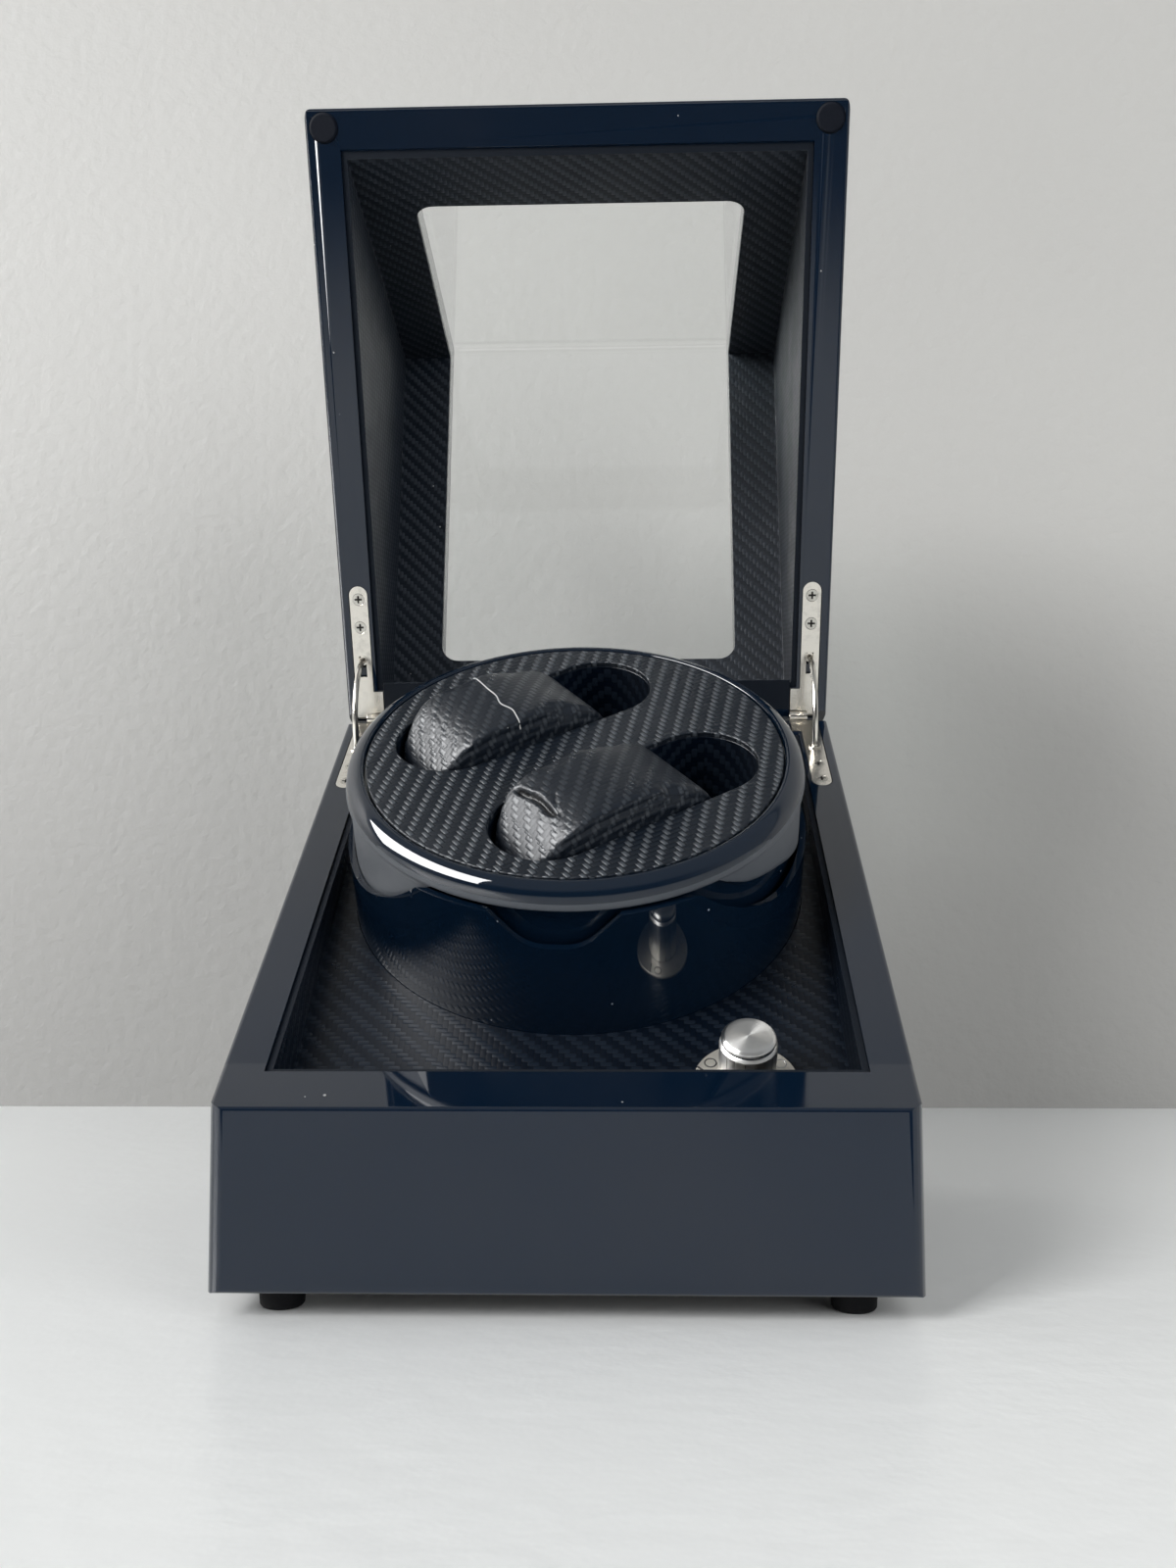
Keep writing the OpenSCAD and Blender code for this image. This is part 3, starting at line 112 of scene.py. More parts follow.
# %% [markdown]
# ## Small helpers
# Operators act on all that is selected, so each step first selects only its own piece. A finished
# piece keeps its object at the origin with its place in its mesh, as the CAD nodes do.

# %% Selecting, applying and settling
def pick(piece):
    if bpy.context.mode != "OBJECT":
        bpy.ops.object.mode_set(mode="OBJECT")
    bpy.ops.object.select_all(action="DESELECT")
    piece.hide_set(False)
    piece.select_set(True)
    bpy.context.view_layer.objects.active = piece


def edit(piece, selected=True):
    pick(piece)
    bpy.ops.object.mode_set(mode="EDIT")
    bpy.ops.mesh.select_mode(type="VERT")
    bpy.ops.mesh.select_all(action="SELECT" if selected else "DESELECT")


def add_modifier(piece, kind, **settings):
    modifier = piece.modifiers.new(kind.lower(), kind)
    for name, value in settings.items():
        setattr(modifier, name, value)
    return modifier


def apply_all(piece):
    pick(piece)
    for modifier in list(piece.modifiers):
        bpy.ops.object.modifier_apply(modifier=modifier.name)


def settle(piece, place):
    """Puts a place and turn into the piece's mesh and leaves its object at the origin."""
    piece.data.transform(place)
    piece.matrix_world = Matrix.Identity(4)
    return piece


def triangles(piece):
    return sum(len(p.vertices) - 2 for p in piece.data.polygons)

# %% [markdown]
# ## Floor, wall and light
# The box stands on a white shelf in front of a rough white wall, lit by one wide window on the left.
# Black lacquer is seen only by what it mirrors, so the room matters as much as the paint: the
# world is a plain sky that is dim, and darkest straight in front of the box, where someone would
# stand. Pale backdrops get their whiteness from their own colour. The wall can be looked through
# from behind, so that the back of the box can be seen too.

# %% Node helpers
def new_material(name):
    material = bpy.data.materials.new(name)
    material.use_nodes = True
    return material


def put(tree, kind, **settings):
    node = tree.nodes.new(kind)
    for name, value in settings.items():
        setattr(node, name, value)
    return node


def feed(tree, socket, value):
    """Links an output socket, or sets a plain value."""
    if isinstance(value, bpy.types.NodeSocket):
        tree.links.new(value, socket)
    elif isinstance(value, (tuple, list)) and len(value) == 3 and socket.type == "RGBA":
        socket.default_value = (*value, 1)
    else:
        socket.default_value = value


def calc(tree, operation, *values, clamp=False):
    node = put(tree, "ShaderNodeMath", operation=operation, use_clamp=clamp)
    for socket, value in zip(node.inputs, values):
        feed(tree, socket, value)
    return node.outputs[0]


def add(tree, a, b):
    return calc(tree, "ADD", a, b)


def minus(tree, a, b):
    return calc(tree, "SUBTRACT", a, b)


def times(tree, a, b):
    return calc(tree, "MULTIPLY", a, b)


def blend_colour(tree, share, low, high):
    node = put(tree, "ShaderNodeMix", data_type="RGBA")
    feed(tree, node.inputs[0], share)
    feed(tree, node.inputs[6], low)
    feed(tree, node.inputs[7], high)
    return node.outputs[2]


def ramp(tree, value, low, high, to_low=0.0, to_high=1.0):
    node = put(tree, "ShaderNodeMapRange", interpolation_type="SMOOTHSTEP")
    for socket, v in zip(node.inputs, (value, low, high, to_low, to_high)):
        feed(tree, socket, v)
    return node.outputs[0]


def noise(tree, vector, scale, detail=2.0, roughness=0.5):
    node = put(tree, "ShaderNodeTexNoise")
    feed(tree, node.inputs["Vector"], vector)
    node.inputs["Scale"].default_value = scale
    node.inputs["Detail"].default_value = detail
    node.inputs["Roughness"].default_value = roughness
    return node.outputs[0]


def bump(tree, height, distance, strength=1.0, under=None):
    node = put(tree, "ShaderNodeBump")
    node.inputs["Strength"].default_value = strength
    node.inputs["Distance"].default_value = distance
    feed(tree, node.inputs["Height"], height)
    if under is not None:
        feed(tree, node.inputs["Normal"], under)
    return node.outputs[0]


def object_place(tree):
    return put(tree, "ShaderNodeTexCoord").outputs["Object"]


# %% Shelf and wall
WALL_Y = 0.244
SHELF_SIZE = (6, 1.56)


def pale_paint(name, colour, roughness, grain, depth, painted_shade, see_through_back=False):
    """Paint whose colour falls off between two places on the plane's own second axis, as painted shade."""
    material = new_material(name)
    tree = material.node_tree
    shader = tree.nodes["Principled BSDF"]
    place = object_place(tree)
    tone = ramp(tree, noise(tree, place, 3.0), 0.3, 0.7, 0.0, 1.0)
    paint = blend_colour(tree, tone, [c * 0.965 for c in colour], colour)
    apart = put(tree, "ShaderNodeSeparateXYZ")
    feed(tree, apart.inputs[0], place)
    full, full_shade_at, left = painted_shade
    feed(tree, shader.inputs["Base Color"],
         blend_colour(tree, ramp(tree, apart.outputs[1], full, full_shade_at), paint, [c * left for c in colour]))
    feed(tree, shader.inputs["Roughness"], roughness)
    feed(tree, shader.inputs["Normal"], bump(tree, noise(tree, place, grain, 3.0), depth))
    if see_through_back:
        clear = put(tree, "ShaderNodeBsdfTransparent")
        mix = put(tree, "ShaderNodeMixShader")
        back = put(tree, "ShaderNodeNewGeometry").outputs["Backfacing"]
        feed(tree, mix.inputs[0], back)
        tree.links.new(shader.outputs[0], mix.inputs[1])
        tree.links.new(clear.outputs[0], mix.inputs[2])
        tree.links.new(mix.outputs[0], tree.nodes["Material Output"].inputs[0])
    return material


bpy.ops.object.select_all(action="DESELECT")
bpy.ops.mesh.primitive_plane_add(size=1, location=(0, -0.52, 0))
shelf = bpy.context.active_object
shelf.name = "shelf"
shelf.data.transform(Matrix.Diagonal((*SHELF_SIZE, 1, 1)))
# Painted shade: the shelf darkens from near the camera to near black half a metre further front, so the gloss
# mirrors a dark room.
shelf.data.materials.append(
    pale_paint("shelf paint", (0.88, 0.89, 0.885), 0.3, 90, 0.0003, (0.08, -0.42, 0.06)))
bpy.ops.object.select_all(action="DESELECT")
bpy.ops.mesh.primitive_plane_add(size=8, location=(0, WALL_Y, 4), rotation=(math.pi / 2, 0, 0))
wall = bpy.context.active_object
wall.name = "wall"
# Painted shade: the wall darkens towards its foot, from 0.38 m high down to 72 percent of its colour at the
# shelf.
wall.data.materials.append(
    pale_paint("wall paint", (0.44, 0.435, 0.419), 0.7, 160, 0.0006, (-3.62, -3.97, 0.72),
               see_through_back=True))
print("stage:", shelf.name, wall.name)

# %% Sky and window
world = bpy.data.worlds.new("room")
bpy.context.scene.world = world
world.use_nodes = True
sky = world.node_tree
direction = put(sky, "ShaderNodeSeparateXYZ")
sky.links.new(put(sky, "ShaderNodeTexCoord").outputs["Generated"], direction.inputs[0])
front_share = ramp(sky, direction.outputs[1], -0.35, -0.93)
below, above = ramp(sky, direction.outputs[2], 0.5, 0.2), ramp(sky, direction.outputs[2], -0.75, -0.3)
level_share = times(sky, below, above)
SKY_GLOW, GLOW_LOST_IN_FRONT = 0.34, 0.29
in_front = times(sky, front_share, level_share)
glow = minus(sky, SKY_GLOW, times(sky, in_front, GLOW_LOST_IN_FRONT))
background = sky.nodes["Background"]
feed(sky, background.inputs["Color"], (0.93, 0.97, 1.0))
feed(sky, background.inputs["Strength"], glow)


def window_light(name, towards, distance, width, height, power, diffuse=True, glossy=True):
    lamp = bpy.data.objects.new(name, bpy.data.lights.new(name, "AREA"))
    bpy.context.scene.collection.objects.link(lamp)
    lamp.data.shape = "RECTANGLE"
    lamp.data.size, lamp.data.size_y, lamp.data.energy = width, height, power
    towards = Vector(towards).normalized()
    lamp.location = Vector((0, 0, 0.13)) + towards * distance
    lamp.rotation_euler = towards.to_track_quat("Z", "Y").to_euler()
    lamp.visible_diffuse, lamp.visible_glossy = diffuse, glossy
    return lamp


window_light("window", (-0.60, -0.63, 0.48), 5.0, 2.0, 2.0, 200, glossy=False)
window_light("bright panes", (-0.79, -0.43, 0.47), 2.2, 2.1, 1.15, 160, diffuse=False)
window_light("room", (0.85, -0.9, 0.22), 3.0, 2.4, 2.0, 62, glossy=False)

# %% [markdown]
# ## Shared surface effects
# Five effects come back in several finishes: the twill that is pressed into the leather, its fine
# grain, dust that settles on gloss, the haze of handled lacquer and hairline scratches on metal.
# Each one is a node group with named sockets. A group gives out only values that change over
# the surface, and every material decides what they do to its colour, roughness and bump.

# %% Making a group
def new_group(name, inputs, outputs):
    group = bpy.data.node_groups.new(name, "ShaderNodeTree")
    for label, kind, default in inputs:
        socket = group.interface.new_socket(label, in_out="INPUT", socket_type=kind)
        if default is not None:
            socket.default_value = default
    for label, kind in outputs:
        group.interface.new_socket(label, in_out="OUTPUT", socket_type=kind)
    print("effect:", name)
    return group, put(group, "NodeGroupInput").outputs, put(group, "NodeGroupOutput").inputs


def use(tree, group, **values):
    node = put(tree, "ShaderNodeGroup", node_tree=group)
    for label, value in values.items():
        feed(tree, node.inputs[label.replace("_", " ")], value)
    return node.outputs


# %% [markdown]
# Twill is a weave in which each strand passes over two and under two, one step further in every
# row, so that the crossings line up in slanting ribs. Here the leather is embossed with it.
# A picture could be tiled over the surface, but a few sums on the place give a sharp
# pattern at any distance: which strand lies on top, and how far the point is from its edges.

# %% Twill
twill, into, out = new_group(
    "pressed twill",
    [("Place", "NodeSocketVector", None), ("Strand", "NodeSocketFloat", 1.68 * MM)],
    [("Height", "NodeSocketFloat"), ("Lengthwise", "NodeSocketFloat"), ("Strand Tone", "NodeSocketFloat")])
split = put(twill, "ShaderNodeSeparateXYZ")
twill.links.new(into["Place"], split.inputs[0])
u = calc(twill, "DIVIDE", split.outputs[0], into["Strand"])
v = calc(twill, "DIVIDE", split.outputs[1], into["Strand"])
column, row = calc(twill, "FLOOR", u), calc(twill, "FLOOR", v)


def strand(tree, along, across_it, own_row, start):
    """Height of a strand that lies on top for two steps of every four."""
    step = calc(tree, "FLOORED_MODULO", minus(tree, along, add(tree, own_row, start)), 4.0)
    side = calc(tree, "ABSOLUTE", minus(tree, times(tree, calc(tree, "FRACT", across_it), 2.0), 1.0))
    end = calc(tree, "ABSOLUTE", minus(tree, step, 1.0))
    round_side = minus(tree, 1.0, calc(tree, "POWER", side, 2.4))
    round_end = calc(tree, "SUBTRACT", 1.0, calc(tree, "POWER", end, 3.0), clamp=True)
    return calc(tree, "LESS_THAN", step, 2.0), times(tree, round_side, round_end)


on_top, lengthwise = strand(twill, v, u, column, -1.0)
_, crosswise = strand(twill, u, v, row, 2.0)
choose = put(twill, "ShaderNodeMix", data_type="FLOAT")
for number, value in ((0, on_top), (2, crosswise), (3, lengthwise)):
    twill.links.new(value, choose.inputs[number])
lowered = add(twill, 0.3, times(twill, on_top, 0.7))
twill.links.new(times(twill, choose.outputs[0], lowered), out["Height"])
twill.links.new(on_top, out["Lengthwise"])
cell = put(twill, "ShaderNodeCombineXYZ")
twill.links.new(calc(twill, "FLOOR", times(twill, add(twill, u, v), 0.5)), cell.inputs[0])
twill.links.new(row, cell.inputs[1])
speckle = put(twill, "ShaderNodeTexWhiteNoise", noise_dimensions="2D")
twill.links.new(cell.outputs[0], speckle.inputs["Vector"])
twill.links.new(speckle.outputs["Value"], out["Strand Tone"])

# %% Leather grain, dust, haze and hairlines
grain, into, out = new_group(
    "leather grain", [("Place", "NodeSocketVector", None), ("Scale", "NodeSocketFloat", 2200.0)],
    [("Height", "NodeSocketFloat"), ("Tone", "NodeSocketFloat")])
cells = put(grain, "ShaderNodeTexVoronoi", feature="SMOOTH_F1")
feed(grain, cells.inputs["Vector"], into["Place"])
feed(grain, cells.inputs["Scale"], into["Scale"])
grain.links.new(add(grain, cells.outputs["Distance"],
                     times(grain, noise(grain, into["Place"], 900, 3.0), 0.6)), out["Height"])
grain.links.new(ramp(grain, noise(grain, into["Place"], 45, 3.0), 0.35, 0.7), out["Tone"])

dust, into, out = new_group(
    "dust", [("Place", "NodeSocketVector", None), ("Spacing", "NodeSocketFloat", 180.0),
             ("Amount", "NodeSocketFloat", 0.3)],
    [("Specks", "NodeSocketFloat"), ("Film", "NodeSocketFloat")])
grit = put(dust, "ShaderNodeTexVoronoi")
feed(dust, grit.inputs["Vector"], into["Place"])
feed(dust, grit.inputs["Scale"], into["Spacing"])
luck = put(dust, "ShaderNodeSeparateColor")
dust.links.new(grit.outputs["Color"], luck.inputs[0])
size = times(dust, luck.outputs[1], 0.09)
near = calc(dust, "LESS_THAN", grit.outputs["Distance"], size)
dust.links.new(times(dust, near, calc(dust, "LESS_THAN", luck.outputs[0], into["Amount"])), out["Specks"])
dust.links.new(ramp(dust, noise(dust, into["Place"], 22, 4.0, 0.6), 0.4, 0.8), out["Film"])

haze, into, out = new_group(
    "handled gloss", [("Place", "NodeSocketVector", None)],
    [("Smears", "NodeSocketFloat"), ("Waves", "NodeSocketFloat")])
haze.links.new(ramp(haze, noise(haze, into["Place"], 16, 4.0, 0.62), 0.45, 0.8), out["Smears"])
haze.links.new(noise(haze, into["Place"], 38, 1.0), out["Waves"])

hairlines, into, out = new_group(
    "hairlines", [("Place", "NodeSocketVector", None), ("Stretch", "NodeSocketVector", (1, 1, 1))],
    [("Lines", "NodeSocketFloat"), ("Wear", "NodeSocketFloat")])
drawn = put(hairlines, "ShaderNodeVectorMath", operation="MULTIPLY")
hairlines.links.new(into["Place"], drawn.inputs[0])
hairlines.links.new(into["Stretch"], drawn.inputs[1])
hairlines.links.new(noise(hairlines, drawn.outputs[0], 1.0, 3.0, 0.6), out["Lines"])
hairlines.links.new(ramp(hairlines, noise(hairlines, into["Place"], 260, 3.0, 0.6), 0.45, 0.75), out["Wear"])

# %% [markdown]
# ## Finishes
# Each material slot of the record gets a material of its own, and so do a few places that look
# different, such as the satin side of the ring. Black is never quite black: the lacquer has a
# trace of blue, the leather a soft grey, and each finish has its own roughness. Values that are
# the same all over a surface sit on the shader's own socket.

# %% Starting a finish
finishes = {}


def finish(slot_name):
    material = new_material(slot_name.replace("_", " "))
    finishes[slot_name] = material
    tree = material.node_tree
    print("finish:", material.name)
    return tree, tree.nodes["Principled BSDF"], object_place(tree)


# %% [markdown]
# Lacquer and polished mouldings look alike from afar: smears make them duller in places, dust
# lies on them in specks and as a film, and slow waves bend what they mirror. One function builds
# both, and each finish names its own strengths.

# %% Black gloss
def black_gloss(slot_name, clean, dusty, speck, spacing, amount, polish, smeared, wave, wave_share):
    tree, shader, place = finish(slot_name)
    smears, waves = use(tree, haze, Place=place)
    specks, film = use(tree, dust, Place=place, Spacing=spacing, Amount=amount)
    base = blend_colour(tree, film, clean, dusty)
    feed(tree, shader.inputs["Base Color"], blend_colour(tree, specks, base, speck))
    duller = add(tree, polish, times(tree, specks, 0.5))
    feed(tree, shader.inputs["Roughness"], add(tree, times(tree, smears, smeared), duller))
    normal = bump(tree, waves, wave, wave_share)
    feed(tree, shader.inputs["Normal"], normal)
    return tree, shader, place, normal


# %% Polished mouldings of the drum, the ring and the cup
_, shader, _, _ = black_gloss(
    "gloss_moulding", (0.0018, 0.0066, 0.0155), (0.0034, 0.0080, 0.0170), (0.25, 0.27, 0.3),
    260.0, 0.12, polish=0.03, smeared=0.05, wave=0.00002, wave_share=0.5)
shader.inputs["IOR"].default_value = 1.5
shader.inputs["Coat Weight"].default_value = 0.15
shader.inputs["Coat Roughness"].default_value = 0.02

# %% Black lacquer on the wooden box
tree, shader, place, normal = black_gloss(
    "piano_black", (0.0018, 0.0072, 0.0180), (0.0046, 0.0092, 0.0190), (0.28, 0.28, 0.27),
    210.0, 0.3, polish=0.035, smeared=0.07, wave=0.00003, wave_share=0.6)
shader.inputs["IOR"].default_value = 1.58
# The front rim was rubbed a little flatter than the rest, so it mirrors the drum.
FRONT_RIM_FROM, FRONT_RIM_ROLL = -0.1045, -0.15
depth_axis = put(tree, "ShaderNodeSeparateXYZ")
feed(tree, depth_axis.inputs[0], place)
past_edge = calc(tree, "MINIMUM", minus(tree, depth_axis.outputs[1], FRONT_RIM_FROM), 0.0)
feed(tree, shader.inputs["Normal"], bump(tree, times(tree, past_edge, FRONT_RIM_ROLL), 1.0, 1.0, normal))

# %% Satin side of the rotor ring
tree, shader, place = finish("satin_moulding")
smears, waves = use(tree, haze, Place=place)
feed(tree, shader.inputs["Base Color"],
     blend_colour(tree, smears, (0.049, 0.056, 0.067), (0.062, 0.069, 0.079)))
feed(tree, shader.inputs["Roughness"], add(tree, 0.41, times(tree, waves, 0.1)))
feed(tree, shader.inputs["Normal"], bump(tree, noise(tree, place, 900, 3.0), 0.00001, 0.4))

# %% [markdown]
# The leather is a coated cloth that carries the pressed twill. Strands that run lengthwise are a
# little smoother than the others, and they are painted paler towards their crowns: a painted sheen
# for the light they catch, which makes the ribs stand out as in a real carbon weave. The grooves
# between the strands get painted shade, and so do the deep creases of the cushions. The face plate
# and the lid lining get paler copies of the leather, as painted light. The pattern reads a map that
# each leather piece gets in true size, so that the strands are equally wide on every board.

# %% Carbon-look leather
def leather(slot_name, dark, light, rough, relief, lit_from=0.15, lit_to=0.95, wrinkle=0.0, matt=0.12,
            painted_gap_shade_tone=0.4, ior=1.45):
    tree, shader, place = finish(slot_name)
    flat = put(tree, "ShaderNodeUVMap", uv_map="weave").outputs[0]
    height, lengthwise, tone = use(tree, twill, Place=flat)
    grain_height, grain_tone = use(tree, grain, Place=place)
    specks, film = use(tree, dust, Place=place, Spacing=300.0, Amount=0.05)
    # Painted sheen: lengthwise strands are painted paler towards their crowns, for the light they catch.
    lit = times(tree, lengthwise, ramp(tree, height, lit_from, lit_to))
    lit = times(tree, lit, add(tree, 0.75, times(tree, tone, 0.25)))
    colour = blend_colour(tree, lit, dark, light)
    # Painted shade: the grooves between the strands are painted darker.
    gap = ramp(tree, height, 0.0, 0.1)
    colour = blend_colour(tree, gap, [c * painted_gap_shade_tone for c in dark], colour)
    colour = blend_colour(tree, times(tree, film, 0.12), colour, light)
    colour = blend_colour(tree, specks, colour, (0.3, 0.3, 0.3))
    feed(tree, shader.inputs["Base Color"], colour)
    feed(tree, shader.inputs["Roughness"],
         add(tree, rough, times(tree, minus(tree, grain_tone, lit), matt)))
    shader.inputs["IOR"].default_value = ior
    normal = bump(tree, grain_height, 0.00002, 0.35)
    if wrinkle:
        # Painted shade: where the sleeve is pressed in deep, the leather is painted near black.
        pressed = put(tree, "ShaderNodeAttribute", attribute_name="fold").outputs["Fac"]
        colour = blend_colour(tree, pressed, colour, (0.0008, 0.0012, 0.002))
        feed(tree, shader.inputs["Base Color"], colour)
        bent = put(tree, "ShaderNodeAttribute", attribute_name="bent").outputs["Fac"]
        ridge = calc(tree, "ABSOLUTE", minus(tree, noise(tree, place, 150, 3.0, 0.6), 0.5))
        share = add(tree, 0.12, bent)
        normal = bump(tree, times(tree, ridge, share), wrinkle, 1.0, normal)
    feed(tree, shader.inputs["Normal"], bump(tree, height, relief, 1.0, normal))
    return tree, shader


# The face plate's leather is a paler copy: painted sheen for the window light its strands catch.
leather("face_plate_leather", (0.0030, 0.0060, 0.0112), (0.055, 0.063, 0.073), 0.40, 0.00035, ior=1.39)
leather("carbon_leather", (0.0008, 0.0031, 0.0080), (0.0080, 0.0125, 0.0205), 0.33, 0.00008, 0.0, 0.2,
        matt=0.06, ior=1.36)
# The lid lining gets a paler copy of the lining leather: painted light for the window that falls on it.
leather("lid_leather", (0.0035, 0.0065, 0.0115), (0.024, 0.029, 0.038), 0.42, 0.00007, 0.0, 0.12,
        matt=0.1, painted_gap_shade_tone=0.8)
leather("cushion_leather", (0.0060, 0.0090, 0.0145), (0.026, 0.031, 0.038), 0.36, 0.00011, 0.1, 0.9,
        wrinkle=0.0008, ior=1.4)

# %% Metals
def metal(slot_name, colour, roughness, stretch, line_depth):
    tree, shader, place = finish(slot_name)
    lines, wear = use(tree, hairlines, Place=place, Stretch=stretch)
    worn = blend_colour(tree, wear, colour, [c * 0.86 for c in colour])
    feed(tree, shader.inputs["Base Color"], worn)
    feed(tree, shader.inputs["Metallic"], 1.0)
    feed(tree, shader.inputs["Roughness"],
         add(tree, roughness, times(tree, add(tree, wear, lines), 0.09)))
    feed(tree, shader.inputs["Normal"], bump(tree, lines, line_depth, 0.5))
    return tree, shader


metal("nickel", (0.80, 0.765, 0.70), 0.14, (2600, 300, 300), 0.000012)
metal("steel", (0.62, 0.62, 0.63), 0.24, (1500, 1500, 300), 0.00002)
metal("bronze", (0.60, 0.40, 0.19), 0.42, (900, 900, 900), 0.00003)
metal("screw_nickel", (0.62, 0.60, 0.55), 0.2, (1500, 1500, 1500), 0.00001)
metal("dial_silver", (0.80, 0.765, 0.69), 0.42, (900, 900, 900), 0.00001)
metal("sleeve_silver", (0.82, 0.81, 0.79), 0.27, (900, 900, 900), 0.000004)

# %% [markdown]
# The knob's cap was spun against an abrasive, so its scratches run in circles. Such a face shows two
# bright fans instead of one spot. The tangent follows a map of angle and radius that the cap
# gets later, and the highlight is stretched across the scratches.

# %% Spun aluminium
tree, shader, place = finish("brushed_aluminium")
turned_place = put(tree, "ShaderNodeSeparateXYZ")
feed(tree, turned_place.inputs[0], put(tree, "ShaderNodeUVMap", uv_map="polar").outputs[0])
radius_only = put(tree, "ShaderNodeCombineXYZ")
feed(tree, radius_only.inputs[0], turned_place.outputs[1])
scratches = noise(tree, radius_only.outputs[0], 60, 2.0)
feed(tree, shader.inputs["Base Color"],
     blend_colour(tree, scratches, (0.80, 0.79, 0.77), (0.90, 0.89, 0.87)))
feed(tree, shader.inputs["Metallic"], 1.0)
feed(tree, shader.inputs["Roughness"], add(tree, 0.26, times(tree, scratches, 0.06)))
shader.inputs["Anisotropic"].default_value = 0.85
shader.inputs["Anisotropic Rotation"].default_value = 0.25
round_the_axis = put(tree, "ShaderNodeTangent", direction_type="UV_MAP", uv_map="polar")
tree.links.new(round_the_axis.outputs[0], shader.inputs["Tangent"])

# %% Plastics, rubber, pads and boards
def plain(slot_name, colour, pale, roughness, scale, depth, ior=1.5):
    """A solid finish with its own fine grain and slight changes of tone."""
    tree, shader, place = finish(slot_name)
    texture = noise(tree, place, scale, 4.0, 0.6)
    feed(tree, shader.inputs["Base Color"],
         blend_colour(tree, ramp(tree, texture, 0.35, 0.7), colour, pale))
    feed(tree, shader.inputs["Roughness"], add(tree, roughness, times(tree, texture, 0.12)))
    feed(tree, shader.inputs["Normal"], bump(tree, texture, depth))
    shader.inputs["IOR"].default_value = ior


plain("black_plastic", (0.012, 0.012, 0.013), (0.02, 0.02, 0.021), 0.38, 1500, 0.00004)
plain("white_plastic", (0.78, 0.76, 0.70), (0.85, 0.83, 0.78), 0.35, 700, 0.00002)
plain("rubber", (0.0030, 0.0032, 0.0040), (0.006, 0.006, 0.007), 0.68, 900, 0.00007, ior=1.3)
plain("grey_felt", (0.0024, 0.0038, 0.0075), (0.0048, 0.0062, 0.011), 0.7, 2400, 0.00006, ior=1.22)
plain("screw_recess", (0.012, 0.011, 0.010), (0.03, 0.028, 0.025), 0.6, 900, 0.00001)
plain("plain_leather_edge", (0.0018, 0.0040, 0.0085), (0.003, 0.006, 0.011), 0.6, 1400, 0.00003, ior=1.27)
plain("board_black", (0.012, 0.012, 0.012), (0.026, 0.026, 0.026), 0.6, 600, 0.00006)
plain("green_board", (0.010, 0.085, 0.045), (0.016, 0.12, 0.06), 0.3, 500, 0.00002)

# %% Bare wood of the hidden battens
tree, shader, place = finish("wood")
lines, wear = use(tree, hairlines, Place=place, Stretch=(900, 40, 40))
feed(tree, shader.inputs["Base Color"], blend_colour(tree, lines, (0.36, 0.24, 0.13), (0.56, 0.42, 0.27)))
feed(tree, shader.inputs["Roughness"], add(tree, 0.55, times(tree, wear, 0.2)))
feed(tree, shader.inputs["Normal"], bump(tree, lines, 0.00012))

# %% [markdown]
# The window is clear acrylic. A glass shader bends the light, and shadow rays are let
# through it, because a pane that throws a dark shadow would need very many samples to look clear.

# %% Clear window
tree, shader, place = finish("clear_acrylic")
feed(tree, shader.inputs["Base Color"], (0.985, 0.995, 0.99))
specks, film = use(tree, dust, Place=place, Spacing=240.0, Amount=0.03)
feed(tree, shader.inputs["Roughness"], times(tree, film, 0.02))
shader.inputs["Transmission Weight"].default_value = 1.0
shader.inputs["IOR"].default_value = 1.49
clear = put(tree, "ShaderNodeBsdfTransparent")
clear.inputs[0].default_value = (0.9, 0.93, 0.92, 1)
ray = put(tree, "ShaderNodeLightPath").outputs
mix = put(tree, "ShaderNodeMixShader")
feed(tree, mix.inputs[0], calc(tree, "MAXIMUM", ray["Is Shadow Ray"], ray["Is Diffuse Ray"]))
tree.links.new(shader.outputs[0], mix.inputs[1])
tree.links.new(clear.outputs[0], mix.inputs[2])
tree.links.new(mix.outputs[0], tree.nodes["Material Output"].inputs[0])

# %% [markdown]
# ## Dressing the CAD nodes
# A node's mesh is loose flat triangles: true in size, but its edges are razor sharp and its curves
# show their facets in the gloss. A real edge always has a small radius that catches a line of
# light. So a visible node gets a finished copy: its triangles are merged back into whole faces and
# a Bevel modifier rounds the sharp edges. Rebuilding each shell by hand would give the same shape
# with more chances to miss its size.

# %% Finished copies of the nodes
slot_of = {part["node"]: part["material_slot"] for part in record["subparts"]}
body_of = {node: body for body, nodes in record["behaviour"]["bodies"].items() for node in nodes}


def merged_copy(node, name, merge=0.02 * MM):
    source = frame["nodes"][node]
    piece = bpy.data.objects.new(name, source.data.copy())
    bpy.context.scene.collection.objects.link(piece)
    piece.data.materials.clear()
    edit(piece)
    bpy.ops.mesh.remove_doubles(threshold=merge)
    bpy.ops.mesh.dissolve_limited(angle_limit=math.radians(0.4), use_dissolve_boundaries=False)
    bpy.ops.object.mode_set(mode="OBJECT")
    return piece


def dress(piece, *nodes, slot_name=None, body=None):
    """Gives a piece its finish and lets it stand for its nodes."""
    slot_name = slot_name or slot_of[nodes[0]]
    if not piece.data.materials:
        piece.data.materials.append(finishes[slot_name])
    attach(piece, body or body_of[nodes[0]])
    if nodes:
        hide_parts(*nodes)
    print(f"{piece.name}: {triangles(piece)} triangles")
    return piece


